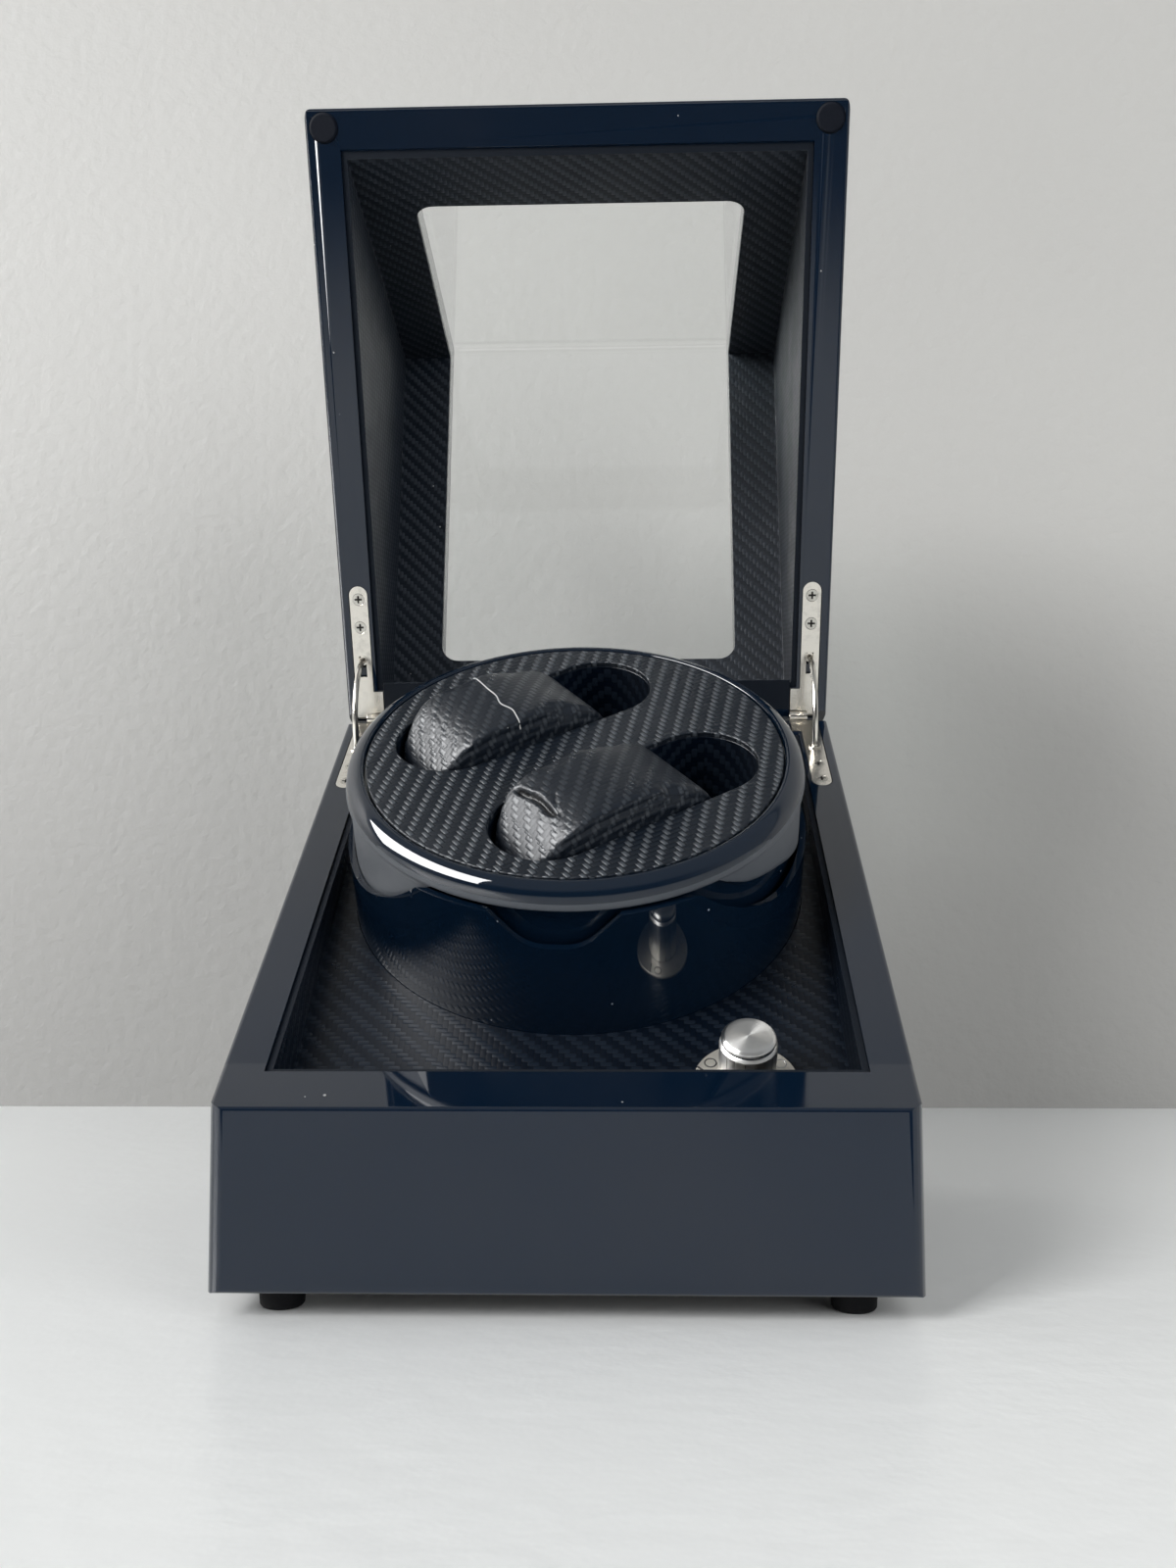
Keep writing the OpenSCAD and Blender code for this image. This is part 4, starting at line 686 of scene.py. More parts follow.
def round_edges(piece, radius, segments=2, angle=32, smooth=32):
    add_modifier(piece, "BEVEL", width=radius, segments=segments, limit_method="ANGLE",
                 angle_limit=math.radians(angle), use_clamp_overlap=True)
    apply_all(piece)
    pick(piece)
    bpy.ops.object.shade_smooth_by_angle(angle=math.radians(smooth))
    add_modifier(piece, "WEIGHTED_NORMAL", keep_sharp=True, weight=60)
    apply_all(piece)
    return piece


def rounded_copy(node, name, radius, segments=2, angle=32, smooth=32):
    return round_edges(merged_copy(node, name), radius, segments, angle, smooth)


def soften_outside(piece, back, width, beyond_x=84.5 * MM, beyond_y=115.5 * MM):
    """Rounds the sharp edges on the outside of a box shell more than those inside it."""
    mesh = piece.data
    sharp = {}
    for polygon in mesh.polygons:
        for key in polygon.edge_keys:
            sharp.setdefault(key, []).append(polygon.normal.copy())
    weights = mesh.attributes.new("bevel_weight_edge", "FLOAT", "EDGE")
    for edge in mesh.edges:
        faces = sharp.get(tuple(sorted(edge.vertices)), [])
        a, b = (back @ mesh.vertices[i].co for i in edge.vertices)
        outside = all(abs(p.x) > beyond_x or abs(p.y) > beyond_y for p in (a, b))
        if len(faces) == 2 and faces[0].angle(faces[1]) > math.radians(30) and outside:
            weights.data[edge.index].value = 1.0
    add_modifier(piece, "BEVEL", width=width, segments=4, limit_method="WEIGHT", use_clamp_overlap=True)
    apply_all(piece)
    return piece


# %% [markdown]
# A turned wall that is built from flat strips shows them as streaks in a mirror finish. Its
# shading normals are therefore set to point straight away from the axis it was turned on, which
# is where they point on the real part.

# %% True normals on turned walls
def turned_normals(piece, frame_matrix, radii, reach=0.3 * MM):
    mesh = piece.data
    turn = np.array(frame_matrix.to_3x3())
    start = np.array(frame_matrix.translation)
    points = np.zeros(len(mesh.vertices) * 3)
    mesh.vertices.foreach_get("co", points)
    points = (points.reshape(-1, 3) - start) @ turn
    normals = np.zeros(len(mesh.loops) * 3)
    mesh.corner_normals.foreach_get("vector", normals)
    normals = normals.reshape(-1, 3)
    count = 0
    for polygon in mesh.polygons:
        normal = np.array(polygon.normal) @ turn
        corners = [mesh.loops[i].vertex_index for i in polygon.loop_indices]
        away = points[corners][:, :2]
        length = np.hypot(*away.T)
        if abs(normal[2]) > 0.05 or not any(np.all(np.abs(length - r) < reach) for r in radii):
            continue
        middle = away.mean(0)
        side = math.copysign(1, float(normal[:2] @ middle))
        if abs(float(normal[:2] @ middle)) < 0.97 * float(np.hypot(*middle)):
            continue
        for loop, direction, r in zip(polygon.loop_indices, away, length):
            normals[loop] = turn @ np.array([*(side * direction / r), 0.0])
        count += 1
    mesh.normals_split_custom_set([tuple(n) for n in normals])
    print(f"{piece.name}: {count} wall faces with turned normals")
    return piece


# %% [markdown]
# The weave on a leather board runs along the board's own edges. Each face is looked at along
# its normal, and the two other axes of the board's frame give the place on it in metres.

# %% Laying the weave on flat boards
def lay_weave(piece, frame_matrix, turned=False):
    mesh = piece.data
    turn = np.array(frame_matrix.to_3x3())
    points = np.zeros(len(mesh.vertices) * 3)
    mesh.vertices.foreach_get("co", points)
    points = (points.reshape(-1, 3) - np.array(frame_matrix.translation)) @ turn
    weave = mesh.uv_layers.new(name="weave")
    for polygon in mesh.polygons:
        normal = np.array(polygon.normal) @ turn
        axis = int(np.argmax(np.abs(normal)))
        first, second = ((1, 2), (0, 2), (0, 1))[axis]
        for loop in polygon.loop_indices:
            p = points[mesh.loops[loop].vertex_index]
            weave.data[loop].uv = (p[second], -p[first]) if turned else (p[first], p[second])
    return piece


# %% [markdown]
# ## Box, lid and hinges
# The lacquered shells have softly rounded edges, the leather boards thin ones, and the hinge
# leaves are sheet metal with a small burr-free edge. Each copy is given its own radius in mm.

# %% Lacquered shells, hinges and small parts
base = soften_outside(merged_copy("base_shell", "base_shell_finished"), Matrix.Identity(4), 1.4 * MM)
base = dress(round_edges(base, 0.45 * MM, 2, 38), "base_shell")
lid = soften_outside(merged_copy("lid_shell", "lid_shell_finished"), lid_opened.inverted(), 0.6 * MM)
lid = dress(round_edges(lid, 0.45 * MM, 2, 38), "lid_shell")
for node, radius, segments in (
        ("bottom_panel", 0.3, 2), ("rubber_feet", 0.7, 3), ("lid_bumpers", 0.5, 3), ("window_pane", 0.15, 2),
        ("stay_left", 0.1, 2), ("stay_right", 0.1, 2), ("hinge_pins", 0.15, 2),
        ("power_socket", 0.2, 2), ("socket_nut", 0.12, 2), ("panel_screws", 0.1, 2)):
    dress(rounded_copy(node, node + "_finished", radius * MM, segments), node)

# %% [markdown]
# The hinge leaves lie in shallow pockets. They are drawn a little narrower than their pockets, so
# that a dark gap shows beside them. The cross in each screw head is nearly black, because hardly
# any light comes out of so narrow a slot.

# %% Hinge leaves and their screws
LEAF_SHARE = 0.955  # of the pocket's width
for node in ("lid_leaf_left", "lid_leaf_right", "base_leaf_left", "base_leaf_right"):
    leaf = merged_copy(node, node + "_finished")
    xs = [v.co.x for v in leaf.data.vertices]
    middle = (min(xs) + max(xs)) / 2
    for vertex in leaf.data.vertices:
        vertex.co.x = middle + (vertex.co.x - middle) * LEAF_SHARE
    dress(round_edges(leaf, 0.2 * MM, 2), node)
rim_up = Vector((0, -math.sin(RIM_SLOPE), math.cos(RIM_SLOPE)))
for node, outward in (("lid_leaf_screws", lid_opened.to_3x3() @ -rim_up), ("base_leaf_screws", rim_up)):
    screws = rounded_copy(node, node + "_finished", 0.05 * MM)
    screws.data.materials.append(finishes["screw_nickel"])
    screws.data.materials.append(finishes["screw_recess"])
    top = max(outward.dot(v.co) for v in screws.data.vertices)
    for polygon in screws.data.polygons:
        if polygon.normal.dot(outward) < 0.97 or top - outward.dot(polygon.center) > 0.12 * MM:
            polygon.material_index = 1
    dress(screws, node)

# %% Leather-covered boards
for node, radius, matrix, turned, rim in (
        ("base_lining", 0.45, Matrix.Identity(4), False, rim_up),
        ("deck_panel", 0.2, deck_frame, True, None),
        ("lid_lining", 0.45, lid_opened, False, lid_opened.to_3x3() @ rim_up),
        ("well_linings", 0.35, well_frame, False, None)):
    boards = lay_weave(rounded_copy(node, node + "_leather", radius * MM, 3), matrix, turned)
    boards.data.materials.append(finishes["lid_leather" if node == "lid_lining" else "carbon_leather"])
    if node == "lid_lining":
        for point in boards.data.uv_layers["weave"].data:
            point.uv = point.uv * 1.2
    if rim:
        boards.data.materials.append(finishes["plain_leather_edge"])
        for polygon in boards.data.polygons:
            if abs(polygon.normal.dot(rim)) > 0.9:
                polygon.material_index = 1
    dress(boards, node)

# %% [markdown]
# ## Drum and rotor
# The drum keeps its CAD shape with thin rounded edges. The ring is turned anew: its bead rises
# from the face plate, slopes outwards and ends in a side that widens a little towards the
# bottom, as moulded parts do, and this is why the side mirrors the pale shelf as a grey band.

# %% Turned pieces
def turned_piece(name, profile, frame_matrix, steps=192, sweep=2 * math.pi):
    """Spins a closed profile of (radius, height) in mm around the frame's third axis."""
    mesh = bpy.data.meshes.new(name)
    ring = [frame_matrix @ Vector((r * MM, 0, z * MM)) for r, z in profile]
    edges = [(i, (i + 1) % len(ring)) for i in range(len(ring))]
    ends = [range(len(ring))] if sweep < 2 * math.pi else []
    mesh.from_pydata(ring, edges, ends)
    piece = bpy.data.objects.new(name, mesh)
    bpy.context.scene.collection.objects.link(piece)
    edit(piece)
    bpy.ops.mesh.spin(steps=steps, angle=sweep, center=frame_matrix.translation,
                      axis=frame_matrix.to_3x3() @ Vector((0, 0, 1)))
    bpy.ops.mesh.select_all(action="SELECT")
    bpy.ops.mesh.remove_doubles(threshold=0.001 * MM)
    bpy.ops.mesh.normals_make_consistent(inside=False)
    bpy.ops.object.mode_set(mode="OBJECT")
    pick(piece)
    bpy.ops.object.shade_smooth_by_angle(angle=math.radians(40))
    apply_all(piece)
    return piece


# %% Bead of the rotor ring
BEAD = [(59.5, 47.9), (64.05, 47.9), (64.05, 49.2), (64.15, 49.55), (64.4, 49.8), (64.9, 49.9),
        (65.8, 49.75), (66.7, 49.35), (67.6, 48.75), (68.4, 48.0), (69.0, 47.2), (69.4, 46.4),
        (69.6, 45.6), (69.65, 45.3), (69.85, 44.4), (70.0, 43.6), (69.95, 43.3), (69.75, 43.1),
        (69.3, 43.0), (59.5, 43.0)]
SATIN_BEYOND, SATIN_BELOW = 69.5 * MM, 45.4 * MM
ring_piece = turned_piece("rotor_ring_turned", BEAD, deck_frame)
to_deck = deck_frame.inverted()
for look in ("gloss_moulding", "satin_moulding"):
    ring_piece.data.materials.append(finishes[look])
for polygon in ring_piece.data.polygons:
    p = to_deck @ polygon.center
    if math.hypot(p.x, p.y) > SATIN_BEYOND and p.z < SATIN_BELOW:
        polygon.material_index = 1
dress(ring_piece, "rotor_ring")

# %% [markdown]
# The skirt is turned as a plain sleeve first. Its lower edge is then drawn up or down by the
# angle from the front: two broad lobes reach down, one on either side, and between them the edge
# stays close to the ring.

# %% Lobed skirt under the ring
SKIRT_TOP, SKIRT_END = 43.6, 22.0
SKIRT = [(69.0, SKIRT_TOP), (69.05, 40), (69.1, 37), (69.12, 34), (69.15, 31), (69.18, 28), (69.2, 25),
         (69.2, 22.6), (69.0, SKIRT_END), (68.1, SKIRT_END), (67.8, 22.6), (67.5, 28), (67.3, 36),
         (67.2, SKIRT_TOP)]
LOBE = [(35, 43.4), (36.5, 42.9), (38.5, 41), (42.5, 38.4), (46, 36.2), (50, 34.7), (60, 31.5),
        (75, 25), (90, 19.5), (105, 19), (120, 21), (132, 25.5), (138, 31), (142, 37), (146, 42.4),
        (150, 43.4)]
skirt = turned_piece("lobed_skirt_turned", SKIRT, deck_frame, 240)
for vertex in skirt.data.vertices:
    p = to_deck @ vertex.co
    turn = math.degrees(math.atan2(p.x, -p.y)) % 180
    low = float(np.interp(turn, [a for a, _ in LOBE], [z for _, z in LOBE]))
    share = (SKIRT_TOP - low) / (SKIRT_TOP - SKIRT_END)
    p.z = SKIRT_TOP * MM - (SKIRT_TOP * MM - p.z) * share
    vertex.co = deck_frame @ p
skirt.data.materials.append(finishes["satin_moulding"])
dress(skirt, "rotor_ring")

# %% Drum, cup and buckets
DRUM_WALLS = [71.5 * MM, 69.5 * MM]
CUP_WALLS = [67.2 * MM, 65.0 * MM]
drum = rounded_copy("drum", "drum_finished", 0.4 * MM, 3)
dress(turned_normals(drum, deck_frame, DRUM_WALLS), "drum")
for node in ("rotor_cup", "well_bucket_rear", "well_bucket_front"):
    piece = rounded_copy(node, node + "_finished", 0.2 * MM)
    dress(turned_normals(piece, deck_frame, CUP_WALLS), node)

# %% Face plate, a little wider and lower than its node
PLATE_EDGE, PLATE_EDGE_DRAWN, PLATE_SUNK = 62.6, 63.45, 0.25 * MM
plate = merged_copy("rotor_plate", "face_plate_leather")
for vertex in plate.data.vertices:
    p = to_deck @ vertex.co
    if math.hypot(p.x, p.y) > 60 * MM:
        p.x, p.y = p.x * PLATE_EDGE_DRAWN / PLATE_EDGE, p.y * PLATE_EDGE_DRAWN / PLATE_EDGE
    p.z -= PLATE_SUNK
    vertex.co = deck_frame @ p
plate.data.materials.append(finishes["face_plate_leather"])
dress(lay_weave(round_edges(plate, 0.55 * MM, 3), well_frame), "rotor_plate")

# %% [markdown]
# ## Watch cushions
# Each cushion is a springy core in a leather sleeve. The CAD block gives its size. Here it is
# first drawn in, remeshed finely and blown up as cloth under slight pressure, which crowns the
# sleeve between its edges. The folds are then pressed in: layers along the sides, a deep
# crease over the sharp bend of the front cushion and fine crinkles around both bends.

# %% Measures of a cushion
CREST = [(-42.6, 8), (-42.6, 30), (-42.4, 40), (-41.0, 47), (-37.2, 52.6), (-31.0, 56.0), (-22, 58.0),
         (-10, 59.0), (2, 58.9), (12, 57.4), (18.5, 55.2), (22, 52.4), (23.3, 48.8), (23.0, 40),
         (21.5, 25), (20, 8)]
SLEEVE_HALF = 16.2 * MM  # half the width of a cushion
WELL_OFF = 27.6 * MM  # from the rotor's axis to the middle of a well
crest_points = np.array(CREST)
crest_steps = np.hypot(*np.diff(crest_points, axis=0).T)
crest_length = np.concatenate(([0], np.cumsum(crest_steps)))
print("length along the arch in mm:", round(float(crest_length[-1]), 1))


def along_crest(points):
    """Length along the arch and distance from it, in mm, for points in the cushion's frame."""
    best_s, best_d = np.zeros(len(points)), np.full(len(points), 1e9)
    for a, b, s0, step in zip(crest_points[:-1], crest_points[1:], crest_length, crest_steps):
        t = np.clip(((points - a) @ (b - a)) / step ** 2, 0, 1)
        d = np.hypot(*(points - (a + t[:, None] * (b - a))).T)
        closer = d < best_d
        best_d[closer], best_s[closer] = d[closer], (s0 + t * step)[closer]
    return best_s, best_d


def well_place(side):
    return well_frame @ Matrix.Translation((0, side * WELL_OFF, 0))


# %% Blowing up the sleeve
SLEEVE_CENTRE = Vector((-9.6, 0, 32)) * MM
DRAWN_IN = (0.985, 0.955, 0.99)  # share of the size that the cloth starts from
MOST_BLOWN = 1.1 * MM
BEND_FROM, BEND_ABOVE = -28.5, 43  # where the left bend begins, in mm


def blown_cushion(node, name, side, flatten):
    piece = merged_copy(node, name)
    place = well_place(side)
    back = place.inverted()
    for vertex in piece.data.vertices:
        p = back @ vertex.co
        drawn_in = [c + (value - c) * share for value, c, share in zip(p, SLEEVE_CENTRE, DRAWN_IN)]
        vertex.co = place @ Vector(drawn_in)
    add_modifier(piece, "REMESH", mode="VOXEL", voxel_size=1.25 * MM, use_smooth_shade=True)
    apply_all(piece)
    add_modifier(piece, "SMOOTH", factor=0.5, iterations=6)
    apply_all(piece)
    for vertex in piece.data.vertices:
        p = back @ vertex.co
        x, z = p.x / MM, p.z / MM
        chord = 57.6 + (x - BEND_FROM) * 0.93
        if x < BEND_FROM and z > BEND_ABOVE:
            pressed = flatten * max(0.0, z - chord) * min(1, (z - BEND_ABOVE) / 3) * MM
            vertex.co = place @ (p - Vector((-0.5, 0, 1)) * pressed)
    start = np.array([v.co for v in piece.data.vertices])
    cloth = add_modifier(piece, "CLOTH")
    cloth.settings.quality = 5
    cloth.settings.mass = 0.15
    cloth.settings.use_pressure = True
    cloth.settings.uniform_pressure_force = 4
    cloth.settings.effector_weights.gravity = 0
    cloth.settings.tension_stiffness = cloth.settings.compression_stiffness = 8
    cloth.settings.bending_stiffness = 0.05
    scene = bpy.context.scene
    for number in range(1, 21):
        scene.frame_set(number)
    seen = piece.evaluated_get(bpy.context.evaluated_depsgraph_get())
    blown = np.array([v.co for v in seen.data.vertices])
    piece.modifiers.clear()
    scene.frame_set(1)
    moved = blown - start
    length = np.linalg.norm(moved, axis=1, keepdims=True)
    moved *= np.minimum(1, MOST_BLOWN / np.maximum(length, 1e-9))
    for vertex, p in zip(piece.data.vertices, start + moved):
        vertex.co = p
    print(f"{name}: blown by {length.max() / MM:.1f} mm at most, kept to {MOST_BLOWN / MM:.1f} mm")
    add_modifier(piece, "SUBSURF", levels=1, render_levels=1)
    apply_all(piece)
    return piece


# %% [markdown]
# Folds follow the sleeve, so they are drawn in its own measures: the length along the arch, the
# place across it and the distance below its edge. A sharp furrow has a lip on either side, and
# crinkles are a sum of narrow waves in many directions, strongest at the bend.

# %% Crinkles and furrows
dice = np.random.default_rng(11)
LIP_SHARE = 0.15  # height of a furrow's lips against its depth
waves_at = [(dice.uniform(0.35, 1.5), dice.uniform(-1.2, 1.2), dice.uniform(0, 6.28)) for _ in range(14)]


def crinkle(s, v):
    total = np.zeros(len(s))
    for rate, lean, start in waves_at:
        bend = 0.8 * np.sin(0.35 * s + 0.5 * v + start)
        total += (1 - np.abs(np.sin(rate * (s + lean * v) + start + bend)) ** 0.5) / rate ** 0.35
    return total / len(waves_at)


def furrow(distance, width):
    lips = np.exp(-((np.abs(distance) - 2.0 * width) / width) ** 2)
    return np.exp(-(distance / width) ** 2) - LIP_SHARE * lips


# %% Pressing the folds into a sleeve
# Where each fold along the sides starts, how wide it is and how deep, in mm below the sleeve's edge
SIDE_FOLDS = [(2.6, 0.8, 0.36), (5.4, 0.75, 0.28), (8.4, 0.9, 0.3), (11.6, 1.0, 0.25)]


def press_folds(piece, side, bend_at, creases, crinkled):
    back = well_place(side).inverted()
    turn, shift = np.array(back.to_3x3()), np.array(back.translation)
    mesh = piece.data
    points = np.zeros(len(mesh.vertices) * 3)
    mesh.vertices.foreach_get("co", points)
    points = points.reshape(-1, 3)
    normals = np.zeros(len(mesh.vertices) * 3)
    mesh.vertex_normals.foreach_get("vector", normals)
    normals = normals.reshape(-1, 3)
    local = (points @ turn.T + shift) / MM
    facing = normals @ turn.T
    s, d = along_crest(local[:, [0, 2]])
    v = local[:, 1]
    top = np.clip((1 - np.abs(facing[:, 1]) * 1.25), 0, 1)
    sides = np.clip((np.abs(facing[:, 1]) - 0.45) * 2.2, 0, 1)
    depth = np.zeros(len(s))
    above = np.clip((local[:, 2] - 34) / 8, 0, 1)
    for start, width, deep in SIDE_FOLDS:
        wander = 0.35 * np.sin(0.16 * s + start * 3)
        depth += deep * furrow(d - start - wander, width) * sides * above
    near = np.exp(-((s - bend_at) / crinkled[0]) ** 2) + crinkled[2]
    depth += crinkled[1] * (crinkle(s, v) - 0.25) * near * top
    for at, lean, reach_low, reach_high, width, deep in creases:
        line = s - at - lean * v - 0.5 * np.sin(0.4 * v)
        ends = np.clip((v - reach_low) / 2.5, 0, 1) * np.clip((reach_high - v) / 2.5, 0, 1)
        depth += deep * furrow(line, width) * ends * top
    bent = mesh.attributes.new("bent", "FLOAT", "POINT")
    bent.data.foreach_set("value", np.exp(-((s - bend_at - 1) / (crinkled[0] * 0.9)) ** 2) * top)
    # The fold attribute marks where the top is pressed in deeper than 0.25 mm; the leather paints it near
    # black as painted shade.
    pressed = mesh.attributes.new("fold", "FLOAT", "POINT")
    pressed.data.foreach_set("value", np.clip((depth - 0.25) / 0.7, 0, 1) * top)
    points = points - normals * (depth * MM)[:, None]
    mesh.vertices.foreach_set("co", points.ravel())
    mesh.update()
    pick(piece)
    bpy.ops.object.shade_smooth()
    return piece


# %% [markdown]
# The pressed twill runs round the arch with the sleeve. Its map therefore takes the length along
# the arch and the place across it, and on the two flat sides the distance below the edge.

# %% Weave along the sleeve
def sleeve_weave(piece, side):
    back = well_place(side).inverted()
    turn, shift = np.array(back.to_3x3()), np.array(back.translation)
    mesh = piece.data
    local = (np.array([v.co for v in mesh.vertices]) @ turn.T + shift)
    s, d = along_crest(local[:, [0, 2]] / MM)
    weave = mesh.uv_layers.new(name="weave")
    for polygon in mesh.polygons:
        facing = turn @ np.array(polygon.normal)
        flat = abs(facing[1]) > 0.75
        for loop in polygon.loop_indices:
            i = mesh.loops[loop].vertex_index
            beside = math.copysign(SLEEVE_HALF + d[i] * MM, facing[1])
            weave.data[loop].uv = (s[i] * MM, beside if flat else local[i, 1])
    return piece


# %% The two cushions
bend = float(crest_length[5]) + 2.0
# Each crease: place along the arch, lean, from and to across the sleeve, width and depth
CREASES = {
    "cushion_rear": [(bend - 1.0, 0.12, -13, 9, 0.4, 0.25), (bend - 5.5, -0.1, -8, 12, 0.5, 0.25)],
    "cushion_front": [(bend + 0.6, -0.09, -6.5, 13.5, 0.8, 2.0), (bend + 4.6, 0.4, -9, 3, 0.5, 0.5),
                      (bend + 4.0, -0.5, 3, 12, 0.45, 0.45)]}
# For each cushion: its side of the axis, how flat its bend is, and its crinkles' reach, depth and least share
SLEEVES = {"cushion_rear": (1, 0.5, (6.5, 0.32, 0.03)), "cushion_front": (-1, 0.8, (5.5, 0.35, 0.02))}
cushions = {}
for node, (side, flatten, crinkled) in SLEEVES.items():
    piece = blown_cushion(node, node + "_sleeve", side, flatten)
    press_folds(piece, side, bend, CREASES[node], crinkled)
    sleeve_weave(piece, side)
    cushions[node] = dress(piece, node)

# %% [markdown]
# The rear sleeve ends in a cut edge that lies over its top as a thin pale wavy line.

# %% Pale cut edge on the rear cushion
CUT_EDGE_AT, CUT_EDGE_LIFT, CUT_EDGE_R = -10.8, 0.12 * MM, 0.22 * MM
rear_mesh = cushions["cushion_rear"].data
rear_surface = BVHTree.FromPolygons([v.co.copy() for v in rear_mesh.vertices],
                                    [tuple(p.vertices) for p in rear_mesh.polygons])
rear_place = well_place(1)
line = []
for v in np.linspace(-15.6, 16.2, 46):
    wave = 0.8 * math.sin(0.5 * v + 0.6) * math.exp(-((v + 6) / 7) ** 2)
    above = rear_place @ (Vector((CUT_EDGE_AT + 0.05 * v + wave, v, 80)) * MM)
    hit, outward, _, _ = rear_surface.ray_cast(above, -deck_up)
    if hit is not None:
        line.append(hit + outward * CUT_EDGE_LIFT)
curve = bpy.data.curves.new("cut edge", "CURVE")
curve.dimensions = "3D"
curve.bevel_depth, curve.bevel_resolution = CUT_EDGE_R, 2
spline = curve.splines.new("POLY")
spline.points.add(len(line) - 1)
for point, p in zip(spline.points, line):
    point.co = (*p, 1)
edge = bpy.data.objects.new("rear_sleeve_cut_edge", curve)
bpy.context.scene.collection.objects.link(edge)
pick(edge)
bpy.ops.object.convert(target="MESH")
edge = bpy.context.active_object
bpy.ops.object.shade_smooth()
pale = new_material("pale cut edge")
tree, shader = pale.node_tree, pale.node_tree.nodes["Principled BSDF"]
fibres = noise(tree, object_place(tree), 1800, 3.0)
feed(tree, shader.inputs["Base Color"],
     blend_colour(tree, fibres, (0.30, 0.31, 0.32), (0.62, 0.62, 0.6)))
shader.inputs["Roughness"].default_value = 0.6
edge.data.materials.append(pale)
dress(edge, slot_name="cushion_leather", body="cushion_rear")

# %% [markdown]
# ## Knob and dial
# The knob has a turned metal cap with a polished chamfer, a dark groove below it and a bright
# sleeve that is cut into eighteen bars, so that the black core shows between them.

# %% Knob cap
FACE_RINGS = (0, 0.25, 0.6, 1.2, 2.2, 3.4, 4.8, 6.35)
CAP = [(r, 18.0) for r in FACE_RINGS] + [(6.5, 17.95), (7.25, 17.2), (7.35, 17.0), (7.35, 16.4),
                                         (7.2, 16.25), (6.6, 16.25), (6.6, 15.9), (0, 15.9)]
cap = turned_piece("knob_cap_turned", CAP, knob_frame, 96)
polar = cap.data.uv_layers.new(name="polar")
to_knob = knob_frame.inverted()
for polygon in cap.data.polygons:
    middle = to_knob @ polygon.center
    own_angle = math.atan2(middle.y, middle.x)
    for loop in polygon.loop_indices:
        p = to_knob @ cap.data.vertices[cap.data.loops[loop].vertex_index].co
        angle = math.atan2(p.y, p.x)
        if abs(angle - own_angle) > math.pi:
            angle -= math.copysign(2 * math.pi, angle - own_angle)
        polar.data[loop].uv = (angle, math.hypot(p.x, p.y) / (8 * MM))
dress(cap, "knob_cap")

# %% Knob core
CORE = [(0, 16.0), (6.9, 16.0), (7.15, 15.7), (7.15, 3.0), (7.5, 2.6), (7.7, 1.4), (7.5, 0.9), (0, 0.9)]
dress(turned_piece("knob_core_turned", CORE, knob_frame, 96), "knob")

# %% [markdown]
# One bar of the sleeve is a short stretch of a turned ring. Spin turns clockwise, so the bar
# starts at its far edge. It is spun once and copied round the axis, and a collar joins the bars
# at their top.

# %% Barred sleeve of the knob
BARS, BAR_SHARE = 18, 0.93
BAR = [(6.9, 1.2), (7.8, 1.2), (7.8, 14.7), (6.9, 14.7)]
COLLAR = [(6.9, 14.55), (7.8, 14.55), (7.8, 14.9), (7.4, 15.5), (7.15, 15.7), (6.9, 15.7)]
bar_turn = 2 * math.pi / BARS
first_bar_frame = knob_frame @ Matrix.Rotation(bar_turn * (1 + BAR_SHARE) / 2, 4, "Z")
bars = [turned_piece("knob_bar", BAR, first_bar_frame, 4, bar_turn * BAR_SHARE)]
for i in range(1, BARS):
    bar = bars[0].copy()
    bar.data = bars[0].data.copy()
    bar.data.transform(knob_frame @ Matrix.Rotation(i * bar_turn, 4, "Z") @ to_knob)
    bpy.context.scene.collection.objects.link(bar)
    bars.append(bar)
bars.append(turned_piece("knob_collar", COLLAR, knob_frame, 96))
pick(bars[0])
for bar in bars:
    bar.select_set(True)
bpy.ops.object.join()
sleeve = bpy.context.active_object
sleeve.name = "knob_sleeve"
edit(sleeve)
bpy.ops.mesh.normals_make_consistent(inside=False)
bpy.ops.object.mode_set(mode="OBJECT")
round_edges(sleeve, 0.14 * MM, 2, 40, 30)
sleeve.data.materials.append(finishes["sleeve_silver"])
dress(sleeve, slot_name="brushed_aluminium", body="knob")

# %% Dial plate
dial = rounded_copy("dial_plate", "dial_plate_finished", 0.2 * MM)
dial.data.materials.append(finishes["dial_silver"])
dress(dial, "dial_plate")

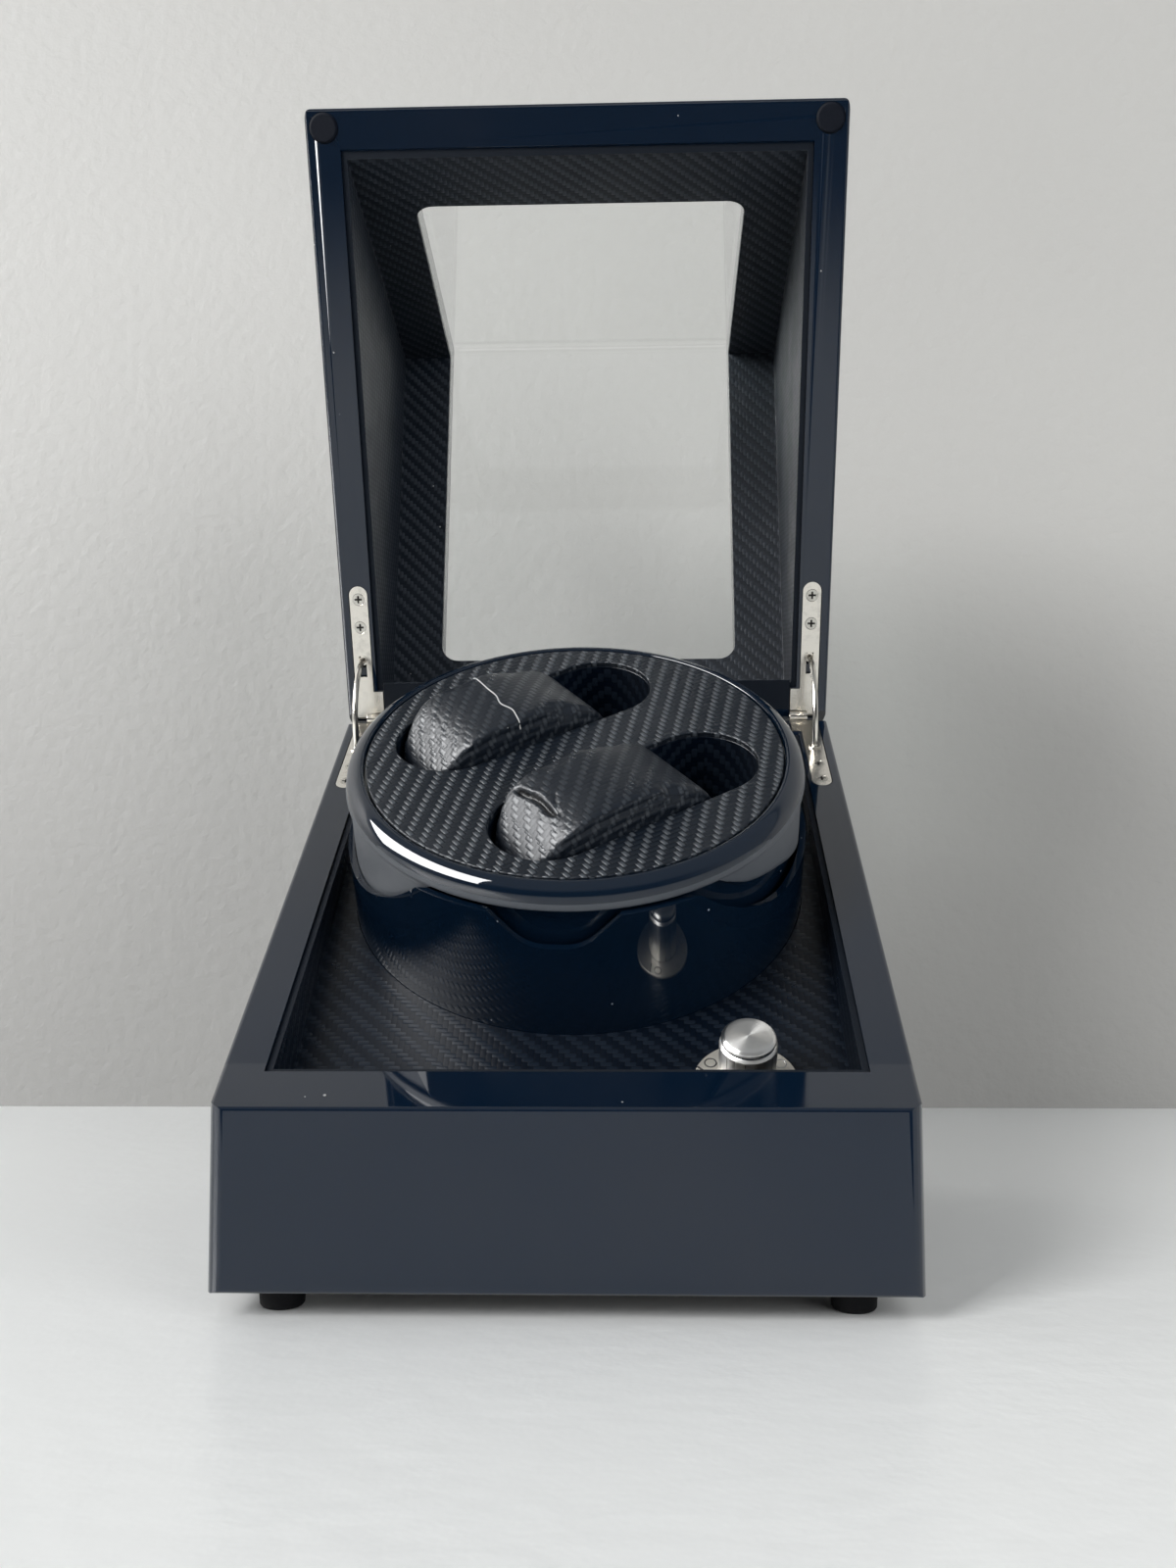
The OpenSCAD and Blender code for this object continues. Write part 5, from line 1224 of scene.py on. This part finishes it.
# %% [markdown]
# The plate carries three plain marks, two rings and a dash, for the knob's settings. Each is a
# thin piece that is half sunk into the plate.

# %% Marks on the dial plate
dial_top = float(max((to_knob @ v.co).z for v in frame["nodes"]["dial_plate"].data.vertices)) / MM
MARK_RADIUS, MARK_SIZE = 11.7, 1.6
DASH_AT, DASH_SIZE, DASH_TURN = (-11.6, 4.0), (4.2, 0.6, 0.3), math.radians(-43)


def ring_mark(name, angle, wire):
    bpy.ops.object.select_all(action="DESELECT")
    bpy.ops.mesh.primitive_torus_add(major_radius=MARK_SIZE * MM, minor_radius=wire * MM,
                                     major_segments=40, minor_segments=8)
    mark = bpy.context.active_object
    mark.name = name
    place = Vector((MARK_RADIUS * math.cos(angle), MARK_RADIUS * math.sin(angle), dial_top)) * MM
    bpy.ops.object.shade_smooth()
    return settle(mark, knob_frame @ Matrix.Translation(place))


for name, angle, wire, look, slot_name in (
        ("dial_ring_mark_left", 144, 0.2, "screw_recess", "black_plastic"),
        ("dial_ring_mark_right", 34, 0.13, "steel", "nickel")):
    mark = ring_mark(name, math.radians(angle), wire)
    mark.data.materials.append(finishes[look])
    dress(mark, slot_name=slot_name, body="box")
bpy.ops.object.select_all(action="DESELECT")
bpy.ops.mesh.primitive_cube_add(size=1)
dash = bpy.context.active_object
dash.name = "dial_line_mark"
settle(dash, knob_frame @ Matrix.Translation(Vector((*DASH_AT, dial_top)) * MM)
       @ Matrix.Rotation(DASH_TURN, 4, "Z") @ Matrix.Diagonal((*(Vector(DASH_SIZE) * MM), 1)))
round_edges(dash, 0.1 * MM)
dash.data.materials.append(finishes["screw_recess"])
dress(dash, slot_name="black_plastic", body="box")

# %% [markdown]
# ## Nodes that stay as they are
# Gears, bushes, the motor and the other inner parts have the right shape already. They only get
# the finish of their slot.

# %% Finishes on the inner nodes
for node, source in frame["nodes"].items():
    if not source.hide_render:
        source.data.materials.clear()
        source.data.materials.append(finishes[slot_of[node]])

# %% [markdown]
# ## Last step
# The dressed model must keep the size of the CAD model. Here the selection is only cleared.

# %% Clearing the selection
bpy.ops.object.select_all(action="DESELECT")
